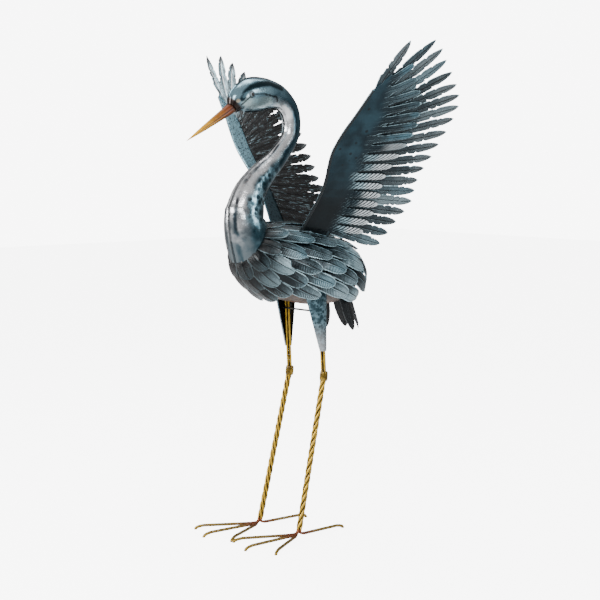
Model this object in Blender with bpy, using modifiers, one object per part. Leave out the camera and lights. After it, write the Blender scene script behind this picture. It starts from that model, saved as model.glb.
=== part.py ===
"""Crane garden statue: a painted sheet-metal bird on legs of twisted rods.

The bird faces -Y, its left side is +X and the ground is at Z = 0. Its body is a hollow
shell that is modelled solid, dressed in rows of pressed feathers. Each wing is a panel
whose rear edge is cut into short feathers, with one long row of feathers behind it.
Lengths are in metres, and places are given from the point midway between the two feet.
"""
import math

import bmesh
import bpy
from mathutils import Matrix, Vector

# Driving dimensions

STATUE = "crane_garden_statue"
SHEET = 0.0011
FIT_GAP = 0.0003

BODY_CENTRE = (0.050, 0.610)
BODY_TILT = math.radians(12.5)
BODY_FRONT = 0.165
BODY_REAR = 0.176
BODY_HALF_WIDTH = 0.084
BODY_HALF_HEIGHT = 0.083
BODY_FULLNESS = 2.4
BODY_SEGMENTS = 20
BODY_RINGS = 12

# Rows of body feathers run round an axis that starts high on the breast
PLUMAGE_TILT = math.radians(18)
HEM_ANGLE = math.radians(29.5)
ROW_COUNT = 5
ROW_STEP = 0.055
ROW_LEAD = 0.006
FEATHER_LENGTH = 0.094
FEATHER_WIDTH = 0.033
FEATHER_CROWN = 0.0016
FEATHER_RISE = 0.075
REAR_RISE = 0.030
ROOT_LIFT = 0.0019
HEM_CLEARANCE = 0.0015
FIRST_ROW_TUCK = 0.049
FIRST_ROW_LIFT = 0.0050
ROW_REACH = (179, 178, 140, 122, 122)
WING_CLEARANCE = 0.009

# Neck and head: centre line as y and height above the body, radius, and half-width as a
# share of the radius
BODY_TOP = BODY_CENTRE[1] + BODY_HALF_HEIGHT
NECK_LINE = (
    (-0.1290, 0.2690, 0.0130, 0.95),
    (-0.1120, 0.2865, 0.0270, 0.82),
    (-0.0840, 0.2965, 0.0352, 0.76),
    (-0.0560, 0.2995, 0.0352, 0.78),
    (-0.0260, 0.2995, 0.0305, 0.84),
    (0.0080, 0.2905, 0.0251, 0.94),
    (0.0340, 0.2620, 0.0219, 1.00),
    (0.0395, 0.2250, 0.0207, 1.00),
    (0.0280, 0.1950, 0.0205, 1.00),
    (-0.0080, 0.1550, 0.0236, 1.00),
    (-0.0500, 0.1190, 0.0300, 1.00),
    (-0.0820, 0.0810, 0.0365, 1.00),
    (-0.0960, 0.0390, 0.0440, 1.00),
)
NECK_STEPS = 2
NECK_SWELL = 0.0060
NECK_HEM_LIFT = 0.0075
NECK_SEAT_DEPTH = 0.012
SEAM_FLANGE = 0.0026
SEAM_WIDTH = 0.0022
EYE_PLACE = (-0.0930, 0.2975)
EYE_RADIUS = 0.0055
EYE_INSET = 0.0008

BEAK_TIP = (-0.2513, 0.1967)
BEAK_RADIUS = 0.0118
BEAK_HALF_WIDTH = 0.0100
MOUTH_GROOVE = 0.0022

# Wing surface: how far it leans, flares and sweeps out from its root on the back
WING_ROOT = (0.050, 0.030, 0.700)
WING_LEAN = 0.62
WING_FLARE = 0.30
WING_SWEEP = 0.22
LAYER_GAP = 0.0005
SHORT_RISE = 0.0026
WING_APRON = 2.6
EDGE_ROLL = 0.0042
EDGE_ROLL_WIDTH = 0.006

LEADING_EDGE = (
    (0.660, 0.022),
    (0.700, 0.029),
    (0.790, 0.037),
    (0.875, 0.019),
    (0.970, 0.036),
    (1.060, 0.050),
)
SHORT_COUNT = 17
SHORT_WIDTH = 0.0200
SHORT_ROOTS = (0.990, 0.708)
SHORT_TIPS = (
    (0, 0.103, 1.052),
    (2, 0.155, 0.998),
    (4, 0.186, 0.951),
    (6, 0.196, 0.906),
    (10, 0.179, 0.814),
    (13, 0.193, 0.750),
    (16, 0.186, 0.687),
)
SHORT_CROWN = 0.0014

LONG_COUNT = 20
LONG_WIDTH = 0.0250
LONG_ROOTS = (
    (0, 0.052, 0.975),
    (4, 0.066, 0.935),
    (9, 0.060, 0.868),
    (14, 0.070, 0.790),
    (19, 0.072, 0.702),
)
LONG_TIPS = (
    (0, 0.068, 1.096, 76),
    (1, 0.125, 1.100, 54),
    (3, 0.181, 1.060, 42),
    (5, 0.241, 1.011, 20),
    (7, 0.278, 0.965, 12),
    (10, 0.281, 0.881, 7),
    (13, 0.272, 0.802, 1),
    (15, 0.283, 0.753, -4),
    (19, 0.250, 0.653, -15),
)
LONG_BEND = 0.075
LONG_CROWN = 0.0014

TAIL_COUNT = 4
TAIL_SPREAD = math.radians(88)
TAIL_ROOT_RADIUS = 0.037
TAIL_ROOT_PLACE = (0.162, 0.550)
TAIL_TIP_RADIUS = 0.045
TAIL_TIP_PLACE = (0.186, 0.455)
TAIL_WIDTH = 0.031
TAIL_CROWN = 0.0015

# Legs
FOOT_SPREAD = 0.070
HUB_HEIGHT = 0.0065
KNEE_PLACE = (0.060, 0.085, 0.360)
UPPER_LEG_TOP = (0.0590, 0.0735, 0.575)
STRAND_RADIUS = 0.0029
STRANDS = 4
TWIST_LENGTH = 0.082
TWIST_RINGS = 8
KNEE_RADIUS = 0.0095
KNEE_HEIGHT = 0.022
TOE_RADIUS = 0.0031
TOE_ANGLES = (-28.5, 0.0, 28.5, 180.0)
TOE_LENGTHS = (0.148, 0.156, 0.148, 0.140)
TOE_TURN = 2.0
TOE_DROP = 0.020
TOE_HEIGHT = 0.0078
TOE_STACK = 0.0011
BRACE_RADIUS = 0.0022
BRACE_DROP = 0.019
BRACE_OVERRUN = 0.002
BUNDLE_RADIUS = STRAND_RADIUS * (1 + math.sqrt(2))

THIGH_TOP = (0.0520, 0.0660, 0.556)
THIGH_BOTTOM = (0.0597, 0.0819, 0.418)
THIGH_TOP_HALF = (0.0305, 0.0165)
THIGH_BOTTOM_HALF = (0.0077, 0.0077)
THIGH_WRAP = math.radians(96)


# Scene, materials and objects


def clear_scene():
    """Remove whatever the scene holds."""
    for old in list(bpy.data.objects):
        bpy.data.objects.remove(old, do_unlink=True)


def new_collection(name):
    """A collection linked to the scene."""
    collection = bpy.data.collections.new(name)
    bpy.context.scene.collection.children.link(collection)
    return collection


def paint(name, colour, roughness, metallic):
    """A plain painted-metal material."""
    material = bpy.data.materials.new(name)
    material.use_nodes = True
    shader = material.node_tree.nodes["Principled BSDF"]
    shader.inputs["Base Color"].default_value = (*colour, 1.0)
    shader.inputs["Roughness"].default_value = roughness
    shader.inputs["Metallic"].default_value = metallic
    return material


class Workshop:
    """The collections, frames and materials that every sub-part uses."""

    def __init__(self):
        self.parts = new_collection(STATUE)
        self.cutters = new_collection("cutters")
        self.frame = bpy.data.objects.new("statue_frame", None)
        self.frame.location = (0.0, centre_shift(), 0.0)
        self.body_frame = bpy.data.objects.new("body_frame", None)
        self.body_frame.parent = self.frame
        self.body_frame.location = (0.0, *BODY_CENTRE)
        self.body_frame.rotation_euler = (-BODY_TILT, 0.0, 0.0)
        for empty in (self.frame, self.body_frame):
            self.parts.objects.link(empty)
        self.blue = paint("blue_plumage", (0.10, 0.20, 0.25), 0.38, 0.55)
        self.dark = paint("dark_plumage", (0.05, 0.07, 0.08), 0.42, 0.55)
        self.pale = paint("pale_neck", (0.42, 0.50, 0.54), 0.34, 0.60)
        self.brown = paint("brown_belly", (0.20, 0.15, 0.12), 0.50, 0.45)
        self.yellow = paint("yellow_beak", (0.62, 0.36, 0.08), 0.40, 0.20)
        self.gold = paint("gold_rods", (0.45, 0.30, 0.07), 0.38, 0.70)

    def add(self, name, mesh, material, parent=None):
        """Link a mesh as a named sub-part."""
        mesh.materials.clear()
        mesh.materials.append(material)
        part = bpy.data.objects.new(name, mesh)
        part.parent = parent or self.frame
        self.parts.objects.link(part)
        return part

    def add_cutter(self, name, mesh, parent=None):
        """Link a mesh that only cuts or joins other parts."""
        cutter = bpy.data.objects.new(name, mesh)
        cutter.parent = parent or self.frame
        cutter.hide_render = True
        cutter.display_type = "WIRE"
        self.cutters.objects.link(cutter)
        return cutter


def mesh_from(shape, name):
    """Turn a bmesh into a mesh shaded smooth up to a sharp angle."""
    mesh = bpy.data.meshes.new(name)
    shape.to_mesh(mesh)
    shape.free()
    mesh.shade_smooth()
    mesh.set_sharp_from_angle(angle=math.radians(40))
    return mesh


def add_sheet(part, thickness=SHEET, roll=None):
    """Give an open surface its thickness, grown outwards, with an optional thicker group."""
    solid = part.modifiers.new("sheet", "SOLIDIFY")
    solid.offset = 1.0
    solid.thickness = thickness
    if roll:
        solid.vertex_group = roll
        solid.thickness_vertex_group = SHEET / thickness
    return solid


def add_boolean(part, other, operation):
    """Cut a part by another, or join another to it."""
    step = part.modifiers.new(operation.lower(), "BOOLEAN")
    step.operation = operation
    step.object = other
    step.solver = "EXACT"
    return step


def smooth_through(keys, at):
    """Values at a place between rows of (place, value, ...), smooth between, straight beyond."""
    last = len(keys) - 1

    def slope(row):
        low, high = keys[max(row - 1, 0)], keys[min(row + 1, last)]
        return [(b - a) / (high[0] - low[0]) for a, b in zip(low[1:], high[1:])]

    if at <= keys[0][0] or at >= keys[last][0]:
        end = 0 if at <= keys[0][0] else last
        return [v + s * (at - keys[end][0]) for v, s in zip(keys[end][1:], slope(end))]
    row = max(r for r in range(last) if keys[r][0] <= at)
    span = keys[row + 1][0] - keys[row][0]
    t = (at - keys[row][0]) / span
    values = []
    for a, b, start, end in zip(keys[row][1:], keys[row + 1][1:], slope(row), slope(row + 1)):
        first = (1 + 2 * t) * (1 - t) ** 2 * a + t * (1 - t) ** 2 * span * start
        second = t * t * (3 - 2 * t) * b + t * t * (t - 1) * span * end
        values.append(first + second)
    return values


# Body shell


def body_direction(angle, around):
    """Direction of a point on the body: back from the breast, and round from the spine."""
    breast = Vector((0, -math.cos(PLUMAGE_TILT), math.sin(PLUMAGE_TILT)))
    spine = Vector((0, math.sin(PLUMAGE_TILT), math.cos(PLUMAGE_TILT)))
    side = Vector((1, 0, 0))
    ring = spine * math.cos(around) + side * math.sin(around)
    return breast * math.cos(angle) + ring * math.sin(angle)


def body_place(direction):
    """Point and outward normal of the egg-shaped body, in the body's own frame."""
    power = 2 / BODY_FULLNESS
    length = BODY_FRONT if direction.y < 0 else BODY_REAR
    ring = math.hypot(direction.x, direction.z)
    swell = ring ** (power - 1) if ring > 1e-9 else 0.0
    along = math.copysign(abs(direction.y) ** power, direction.y)
    across, height = direction.x * swell, direction.z * swell
    point = Vector((across * BODY_HALF_WIDTH, along * length, height * BODY_HALF_HEIGHT))
    grade = (ring**power) ** (BODY_FULLNESS - 2)
    normal = Vector((
        grade * across / BODY_HALF_WIDTH,
        math.copysign(abs(along) ** (BODY_FULLNESS - 1), along) / length,
        grade * height / BODY_HALF_HEIGHT,
    ))
    return point, normal.normalized()


def body_matrix():
    """From the body's own frame to the statue's."""
    return Matrix.Translation((0.0, *BODY_CENTRE)) @ Matrix.Rotation(-BODY_TILT, 4, "X")


def body_mesh(name, lift=0.0):
    """A sphere drawn out to the egg shape of the body, lifted off it by a clearance."""
    shape = bmesh.new()
    bmesh.ops.create_uvsphere(shape, u_segments=BODY_SEGMENTS, v_segments=BODY_RINGS, radius=1.0)
    turn = Matrix.Rotation(math.radians(90), 3, "X")
    for vertex in shape.verts:
        point, normal = body_place((turn @ vertex.co).normalized())
        vertex.co = point + normal * lift
    return mesh_from(shape, name)


def flank_walk():
    """Distance along the flank from the breast for each degree back from it."""
    walk = [0.0]
    before, _ = body_place(body_direction(0.0, math.pi / 2))
    for degree in range(1, 181):
        here, _ = body_place(body_direction(math.radians(degree), math.pi / 2))
        walk.append(walk[-1] + (here - before).length)
        before = here
    return walk


FLANK_WALK = flank_walk()


def flank_angle(distance):
    """Angle back from the breast at a distance along the flank."""
    distance = min(max(distance, 0.0), FLANK_WALK[-1])
    degree = max(d for d in range(180) if FLANK_WALK[d] <= distance)
    step = FLANK_WALK[degree + 1] - FLANK_WALK[degree]
    return math.radians(degree + (distance - FLANK_WALK[degree]) / step)


def flank_distance(angle):
    """Distance along the flank at an angle back from the breast."""
    degree = min(int(math.degrees(angle)), 179)
    step = FLANK_WALK[degree + 1] - FLANK_WALK[degree]
    return FLANK_WALK[degree] + (math.degrees(angle) - degree) * step


# Feathers


# Outlines as rows of share of the length, width as a share of the pitch, and crown. Where a
# row is as wide as the pitch, the feather is joined to the next one
ROUND_FEATHER = ((0.0, 1.0, 0.0), (0.44, 1.0, 0.7), (0.76, 0.92, 1.0), (0.93, 0.62, 0.9), (1.0, 0.0, 0.5))
SHORT_FEATHER = ((0.50, 1.0, 0.0), (0.62, 0.88, 1.0), (0.93, 0.72, 0.9), (1.0, 0.0, 0.3))
LONG_FEATHER = (
    (0.0, 1.0, 0.0), (0.50, 1.0, 0.0), (0.72, 0.92, 1.0), (0.90, 0.60, 0.9), (1.0, 0.0, 0.2)
)
TAIL_FEATHER = (
    (0.0, 1.0, 0.0), (0.20, 1.0, 0.5), (0.40, 1.0, 0.9), (0.62, 0.92, 1.0), (0.84, 0.54, 0.9), (1.0, 0.0, 0.2)
)


def fringe_mesh(name, place, count, stations, crown, width, side=1, apron=0.0, roll=0):
    """A row of feathers pressed from one sheet: joined at their roots and parted further out.

    place(feather, share) gives a point of the sheet and its outward normal, where feather
    runs from 0 to count - 1 and may be a half between two. stations are the rows of the
    outline. roll rows at the root make the thick edge, and apron widens the joined part
    past the last feather.
    """
    shape = bmesh.new()

    def spot(feather, share, bulge):
        point, normal = place(feather, share)
        point = point + normal * crown * bulge
        return shape.verts.new((side * point.x, point.y, point.z))

    columns = [half / 2 - 0.5 for half in range(2 * count + 1)]
    if apron:
        columns.append(count - 0.5 + apron)
    rows = []
    for share, wide, bulge in (row for row in stations if row[1] >= 1):
        rows.append([spot(c, share, bulge if c % 1 == 0 else 0.0) for c in columns])
    for upper, lower in zip(rows, rows[1:]):
        for left in range(len(columns) - 1):
            shape.faces.new((upper[left], upper[left + 1], lower[left + 1], lower[left]))
    for feather in range(count):
        before = rows[-1][2 * feather:2 * feather + 3]
        for share, wide, bulge in (row for row in stations if row[1] < 1):
            middle = spot(feather, share, bulge)
            if not wide:
                shape.faces.new((before[0], before[1], middle))
                shape.faces.new((before[1], before[2], middle))
                continue
            gap = (place(feather + 0.5, share)[0] - place(feather - 0.5, share)[0]).length
            reach = min(wide, wide * width / gap) / 2
            now = [spot(feather - reach, share, 0.0), middle, spot(feather + reach, share, 0.0)]
            shape.faces.new((before[0], before[1], now[1], now[0]))
            shape.faces.new((before[1], before[2], now[2], now[1]))
            before = now
    shape.normal_update()
    first = next(iter(shape.faces))
    _, normal = place(columns[0], stations[0][0])
    if first.normal.dot(Vector((side * normal.x, normal.y, normal.z))) < 0:
        bmesh.ops.reverse_faces(shape, faces=shape.faces)
    shape.verts.index_update()
    rolled = [vertex.index for row in rows[:roll] for vertex in row]
    return mesh_from(shape, name), rolled


def wing_angle(angle):
    """Angle round from the spine at which the body meets the wing, for an angle back."""
    low, high = 0.0, math.radians(80)
    for _ in range(24):
        middle = (low + high) / 2
        point = body_matrix() @ body_place(body_direction(angle, middle))[0]
        if point.x < wing_place(point.y, point.z)[0].x:
            low = middle
        else:
            high = middle
    return low


def row_place(root, length, start, pitch, lift, rise):
    """Sheet surface of a row of body feathers that runs back along the body."""

    def place(feather, share):
        run = share * length
        angle = flank_angle(root + run)
        point, normal = body_place(body_direction(angle, start + pitch * feather))
        return point + normal * (lift + rise * run), normal

    return place


def wing_gap(root):
    """Angles round from the spine that a row leaves free for the wing, or None."""
    spans = []
    for part in range(7):
        angle = flank_angle(root + FEATHER_LENGTH * part / 6)
        around = wing_angle(angle)
        point = body_matrix() @ body_place(body_direction(angle, around))[0]
        girth = math.sin(angle) * BODY_HALF_WIDTH
        if leading_edge(point.z) - 0.012 < point.y < WING_FOOT_END + 0.012:
            spans.append((around - WING_CLEARANCE / girth, around + WING_CLEARANCE / girth))
    if not spans:
        return None
    return min(s[0] for s in spans), max(s[1] for s in spans)


def feather_rows(shop):
    """Rows of pressed feathers from the hem of the neck to the rump."""
    hem = flank_distance(HEM_ANGLE) + HEM_CLEARANCE
    length = FEATHER_LENGTH - FIRST_ROW_TUCK
    girth = math.sin(flank_angle(hem + length / 2)) * BODY_HALF_WIDTH
    count = round(2 * math.pi * girth / FEATHER_WIDTH)
    pitch = 2 * math.radians(ROW_REACH[0]) / count
    start = -math.radians(ROW_REACH[0]) + pitch / 2
    place = row_place(hem, length, start, pitch, FIRST_ROW_LIFT, FEATHER_RISE)
    name = "neck_base_feathers"
    mesh, _ = fringe_mesh(name, place, count, ROUND_FEATHER, FEATHER_CROWN, FEATHER_WIDTH)
    add_sheet(shop.add(name, mesh, shop.blue, shop.body_frame))
    for row in range(ROW_COUNT):
        root = hem + ROW_LEAD + row * ROW_STEP
        rise = FEATHER_RISE + REAR_RISE * row
        girth = math.sin(flank_angle(root + FEATHER_LENGTH / 2)) * BODY_HALF_WIDTH
        reach = math.radians(ROW_REACH[row])
        gap = wing_gap(root)
        number = row + 1
        if gap is None:
            count = max(3, round(2 * reach * girth / FEATHER_WIDTH))
            pitch = 2 * reach / count
            groups = [(f"feather_row_{number}", -reach + pitch / 2, pitch, count, 1)]
        else:
            back = max(1, round(2 * gap[0] * girth / FEATHER_WIDTH))
            flank = max(2, round((reach - gap[1]) * girth / FEATHER_WIDTH))
            flank_pitch = (reach - gap[1]) / flank
            back_pitch = 2 * gap[0] / back
            first = gap[1] + flank_pitch / 2
            groups = [
                (f"back_feathers_{number}", -gap[0] + back_pitch / 2, back_pitch, back, 1),
                (f"left_flank_feathers_{number}", first, flank_pitch, flank, 1),
                (f"right_flank_feathers_{number}", first, flank_pitch, flank, -1),
            ]
        for name, start, pitch, count, side in groups:
            place = row_place(root, FEATHER_LENGTH, start, pitch, ROOT_LIFT, rise)
            mesh, _ = fringe_mesh(name, place, count, ROUND_FEATHER, FEATHER_CROWN, FEATHER_WIDTH, side)
            add_sheet(shop.add(name, mesh, shop.blue, shop.body_frame))


def tail_place(feather, share):
    """Sheet surface of the tail feathers, which hang from the rump in a curved row."""
    turn = TAIL_SPREAD * (2 * feather / (TAIL_COUNT - 1) - 1)
    root = TAIL_ROOT_RADIUS
    radius = root + (TAIL_TIP_RADIUS - root) * share
    y = TAIL_ROOT_PLACE[0] + (TAIL_TIP_PLACE[0] - TAIL_ROOT_PLACE[0]) * share
    z = TAIL_ROOT_PLACE[1] + (TAIL_TIP_PLACE[1] - TAIL_ROOT_PLACE[1]) * share
    point = Vector((radius * math.sin(turn), y + radius * math.cos(turn), z))
    return point, Vector((math.sin(turn), math.cos(turn), 0.0))


def tail(shop, body_cutter):
    """Pointed feathers that hang from the rump."""
    mesh, _ = fringe_mesh("tail_feathers", tail_place, TAIL_COUNT, TAIL_FEATHER, TAIL_CROWN, TAIL_WIDTH)
    part = shop.add("tail_feathers", mesh, shop.dark)
    add_sheet(part)
    add_boolean(part, body_cutter, "DIFFERENCE")


# Wings


def leading_edge(z):
    """Y of the wing's leading edge at a height."""
    return smooth_through(LEADING_EDGE, z)[0]


def wing_place(y, z, lift=0.0):
    """Point and outward normal of the left wing's surface."""
    rise = z - WING_ROOT[2]
    x = WING_ROOT[0] + WING_LEAN * rise + WING_FLARE * rise**2 + WING_SWEEP * (y - WING_ROOT[1])
    normal = Vector((1.0, -WING_SWEEP, -(WING_LEAN + 2 * WING_FLARE * rise))).normalized()
    return Vector((x, y, z)) + normal * lift, normal


def short_place(feather, share):
    """Surface of the wing panel, from its leading edge to the tips of its short feathers."""
    z = SHORT_ROOTS[0] + (SHORT_ROOTS[1] - SHORT_ROOTS[0]) * feather / (SHORT_COUNT - 1)
    root = (leading_edge(z), z)
    tip = smooth_through(SHORT_TIPS, feather)
    y, z = (a + (b - a) * share for a, b in zip(root, tip))
    return wing_place(y, z, SHEET + LAYER_GAP + SHORT_RISE * share)


def long_place(feather, share):
    """Surface of the row of long feathers behind the panel, each on a bent shaft."""
    root = smooth_through(LONG_ROOTS, feather)
    y, z, lean = smooth_through(LONG_TIPS, feather)
    lean = math.radians(lean)
    bend = (y - LONG_BEND * math.cos(lean), z - LONG_BEND * math.sin(lean))
    weights = ((1 - share) ** 2, 2 * share * (1 - share), share**2)
    at = [sum(w * p for w, p in zip(weights, line)) for line in zip(root, bend, (y, z))]
    return wing_place(*at)


WING_FOOT_END = leading_edge(WING_ROOT[2]) + 0.5 * (SHORT_TIPS[-1][1] - leading_edge(WING_ROOT[2]))


def wing(shop, name, side, body_cutter):
    """One wing: the panel with its rolled edge and short feathers, and the long feathers."""
    roll = EDGE_ROLL_WIDTH / (SHORT_TIPS[-1][1] - leading_edge(SHORT_ROOTS[1]))
    stations = ((0.0, 1.0, 0.0), (roll, 1.0, 0.0), *SHORT_FEATHER)
    panel_name = f"{name}_wing_panel"
    mesh, rolled = fringe_mesh(
        panel_name, short_place, SHORT_COUNT, stations, SHORT_CROWN, SHORT_WIDTH, side, WING_APRON, roll=1
    )
    panel = shop.add(panel_name, mesh, shop.blue)
    panel.vertex_groups.new(name="rolled_edge").add(rolled, 1.0, "REPLACE")
    add_sheet(panel, EDGE_ROLL, "rolled_edge")
    add_boolean(panel, body_cutter, "DIFFERENCE")
    long_name = f"{name}_wing_long_feathers"
    mesh, _ = fringe_mesh(long_name, long_place, LONG_COUNT, LONG_FEATHER, LONG_CROWN, LONG_WIDTH, side)
    add_sheet(shop.add(long_name, mesh, shop.dark))


# Neck, head and beak


def neck_section(radius, half_width):
    """Points round the neck as (across, along the back), with a seam flange back and front."""
    half = SEAM_WIDTH / 2
    rim = radius + SEAM_FLANGE
    points = [(half, rim), (half, radius * 0.995)]
    for degree in (45, 90, 135):
        turn = math.radians(degree)
        points.append((half_width * math.sin(turn), radius * math.cos(turn)))
    points += [(half, -radius * 0.995), (half, -rim)]
    return points + [(-x, y) for x, y in reversed(points)]


def loft_mesh(name, rings):
    """A closed body through rings of equally many points, capped at both ends."""
    shape = bmesh.new()
    loops = [[shape.verts.new(point) for point in ring] for ring in rings]
    for low, high in zip(loops, loops[1:]):
        for here in range(len(low)):
            after = (here + 1) % len(low)
            shape.faces.new((low[here], low[after], high[after], high[here]))
    shape.faces.new(loops[0])
    shape.faces.new(loops[-1])
    bmesh.ops.recalc_face_normals(shape, faces=shape.faces)
    return mesh_from(shape, name)


def neck_rings():
    """Rings from the root of the beak, over the crown and down to the seat on the breast."""
    keys = [(row, *values) for row, values in enumerate(NECK_LINE)]
    steps = (len(keys) - 1) * NECK_STEPS
    rings = []
    for step in range(steps + 1):
        at = step / NECK_STEPS
        y, rise, radius, share = smooth_through(keys, at)
        ahead = smooth_through(keys, at + 0.05)
        behind = smooth_through(keys, at - 0.05)
        tangent = Vector((ahead[0] - behind[0], ahead[1] - behind[1])).normalized()
        back = (-tangent.y, tangent.x)
        ring = []
        for across, out in neck_section(radius, radius * share):
            ring.append(Vector((across, y + back[0] * out, BODY_TOP + rise + back[1] * out)))
        rings.append(ring)
    return rings


def seat_ring(angle, lift, flange):
    """Ring of the neck's section on the body, at an angle back from the breast."""
    ring = []
    for across, out in neck_section(1.0, 1.0):
        around = math.atan2(across, out)
        on_flange = math.hypot(across, out) > 1.0
        if abs(across) < 0.1:
            girth = math.sin(angle) * BODY_HALF_WIDTH
            around = math.copysign(SEAM_WIDTH / 2 / girth, across)
            around = around if out > 0 else math.pi - around
        point, normal = body_place(body_direction(angle, around))
        ring.append(body_matrix() @ (point + normal * (lift + (flange if on_flange else 0.0))))
    return ring


def swell_ring(upper, lower):
    """Ring halfway between two others, swollen outwards from its own middle."""
    between = [(a + b) / 2 for a, b in zip(upper, lower)]
    middle = sum(between, Vector()) / len(between)
    return [point + (point - middle).normalized() * NECK_SWELL for point in between]


def neck(shop, body_cutter):
    """Neck and head, pressed as two halves that meet in a flange, with the eyes."""
    rings = neck_rings()
    hem = seat_ring(HEM_ANGLE, NECK_HEM_LIFT, SEAM_FLANGE)
    rings += [swell_ring(rings[-1], hem), hem, seat_ring(HEM_ANGLE, -NECK_SEAT_DEPTH, 0.0)]
    name = "neck_and_head"
    head = shop.add(name, loft_mesh(name, rings), shop.pale)
    add_boolean(head, body_cutter, "DIFFERENCE")
    for side in (-1, 1):
        shape = bmesh.new()
        bmesh.ops.create_uvsphere(shape, u_segments=8, v_segments=6, radius=EYE_RADIUS)
        eye = shop.add_cutter(f"eye_{side}", mesh_from(shape, "eye"))
        temple = NECK_LINE[2][2] * NECK_LINE[2][3] - EYE_INSET
        eye.location = (side * temple, EYE_PLACE[0], BODY_TOP + EYE_PLACE[1])
        add_boolean(head, eye, "UNION")
    return head


def beak(shop):
    """A pointed beak with a groove along each side for the mouth."""
    (y, z, _, _), (next_y, next_z, _, _) = NECK_LINE[:2]
    face = Vector((0.0, next_y - y, next_z - z)).normalized()
    start = Vector((0.0, y, BODY_TOP + z)) - face * FIT_GAP
    tip = Vector((0.0, BEAK_TIP[0], BODY_TOP + BEAK_TIP[1]))
    along = (start - tip).normalized()
    rings = []
    for share, scale in ((0.0, 1.0), (0.08, 0.97), (0.3, 0.80), (0.65, 0.48), (0.9, 0.17), (1.0, 0.03)):
        centre = start + (tip - start) * share
        axis = along if share else face
        up = Vector((0.0, -axis.z, axis.y))
        ring = []
        for degree in (0, 38, 72, 90, 108, 142, 180, 218, 252, 270, 288, 322):
            turn = math.radians(degree)
            groove = MOUTH_GROOVE if degree in (90, 270) else 0.0
            across = (BEAK_HALF_WIDTH - groove) * math.sin(turn) * scale
            height = BEAK_RADIUS * scale * math.cos(turn)
            ring.append(centre + Vector((across, 0.0, 0.0)) + up * height)
        rings.append(ring)
    return shop.add("beak", loft_mesh("beak", rings), shop.yellow)


# Legs and feet


def tube_mesh(name, points, radius, resolution=1):
    """A round rod through points, as a closed mesh."""
    curve = bpy.data.curves.new(name, "CURVE")
    curve.dimensions = "3D"
    curve.bevel_depth = radius
    curve.bevel_resolution = resolution
    curve.use_fill_caps = True
    line = curve.splines.new("POLY")
    line.points.add(len(points) - 1)
    for spot, point in zip(line.points, points):
        spot.co = (*point, 1.0)
    rod = bpy.data.objects.new(name, curve)
    bpy.context.scene.collection.objects.link(rod)
    bpy.context.view_layer.update()
    graph = bpy.context.evaluated_depsgraph_get()
    mesh = bpy.data.meshes.new_from_object(rod.evaluated_get(graph))
    bpy.data.objects.remove(rod, do_unlink=True)
    bpy.data.curves.remove(curve)
    shape = bmesh.new()
    shape.from_mesh(mesh)
    bpy.data.meshes.remove(mesh)
    bmesh.ops.remove_doubles(shape, verts=shape.verts, dist=1e-6)
    return mesh_from(shape, name)


def strand_mesh(name, start, end, turns, rings):
    """A bundle of rods twisted together, as one lobed bar from start to end."""
    start, end = Vector(start), Vector(end)
    along = end - start
    turn_to = along.to_track_quat("Z", "X").to_matrix()
    inner = STRAND_RADIUS * 1.25
    sections = []
    for ring in range(rings + 1):
        share = ring / rings
        section = []
        for corner in range(2 * STRANDS):
            angle = math.pi * corner / STRANDS + 2 * math.pi * turns * share
            reach = inner if corner % 2 else BUNDLE_RADIUS
            flat = Vector((reach * math.cos(angle), reach * math.sin(angle), 0.0))
            section.append(start + along * share + turn_to @ flat)
        sections.append(section)
    return loft_mesh(name, sections)


def toe_points(hub, angle, length, root_height):
    """Line of one toe: level out of the leg, and bent down to the ground at its end."""
    out = Vector((math.sin(math.radians(angle)), -math.cos(math.radians(angle)), 0.0))
    level = length - TOE_DROP
    profile = (
        (0.0, root_height),
        (level, TOE_HEIGHT + 0.001),
        (length - 0.45 * TOE_DROP, TOE_HEIGHT - 0.0008),
        (length - 0.12 * TOE_DROP, TOE_HEIGHT - 0.0032),
        (length, 0.0018),
        (length, 0.0),
    )
    return [Vector((hub.x, hub.y, 0.0)) + out * run + Vector((0.0, 0.0, height)) for run, height in profile]


def leg(shop, name, side, body_cutter):
    """One leg: twisted rods that splay into toes, a collar at the knee, and straight rods."""
    hub = Vector((side * FOOT_SPREAD, 0.0, HUB_HEIGHT))
    knee = Vector((side * KNEE_PLACE[0], *KNEE_PLACE[1:]))
    top = Vector((side * UPPER_LEG_TOP[0], *UPPER_LEG_TOP[1:]))
    lower = (knee - hub).normalized()
    upper = (top - knee).normalized()
    bend = lower.angle(upper) / 2
    seat = (KNEE_HEIGHT / 2 + FIT_GAP + BUNDLE_RADIUS * math.sin(bend)) / math.cos(bend)
    below = knee - lower * seat
    above = knee + upper * seat

    turns = side * (below - hub).length / TWIST_LENGTH
    rings = round(abs(turns) * TWIST_RINGS)
    shank_name = f"{name}_leg_rods"
    shank = shop.add(shank_name, strand_mesh(shank_name, hub, below, turns, rings), shop.gold)
    for toe, (angle, length) in enumerate(zip(TOE_ANGLES, TOE_LENGTHS)):
        turn = side * (angle + TOE_TURN)
        points = toe_points(hub, turn, length, TOE_HEIGHT + TOE_STACK * toe)
        cutter = shop.add_cutter(f"{name}_toe_{toe + 1}", tube_mesh("toe", points, TOE_RADIUS))
        add_boolean(shank, cutter, "UNION")

    upper_name = f"{name}_upper_leg"
    part = shop.add(upper_name, strand_mesh(upper_name, above, top, 0.0, 1), shop.gold)
    add_boolean(part, body_cutter, "DIFFERENCE")

    collar = shop.add(f"{name}_knee", collar_mesh(f"{name}_knee"), shop.gold)
    collar.location = knee
    collar.rotation_euler = (lower + upper).to_track_quat("Z", "X").to_euler()


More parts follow.
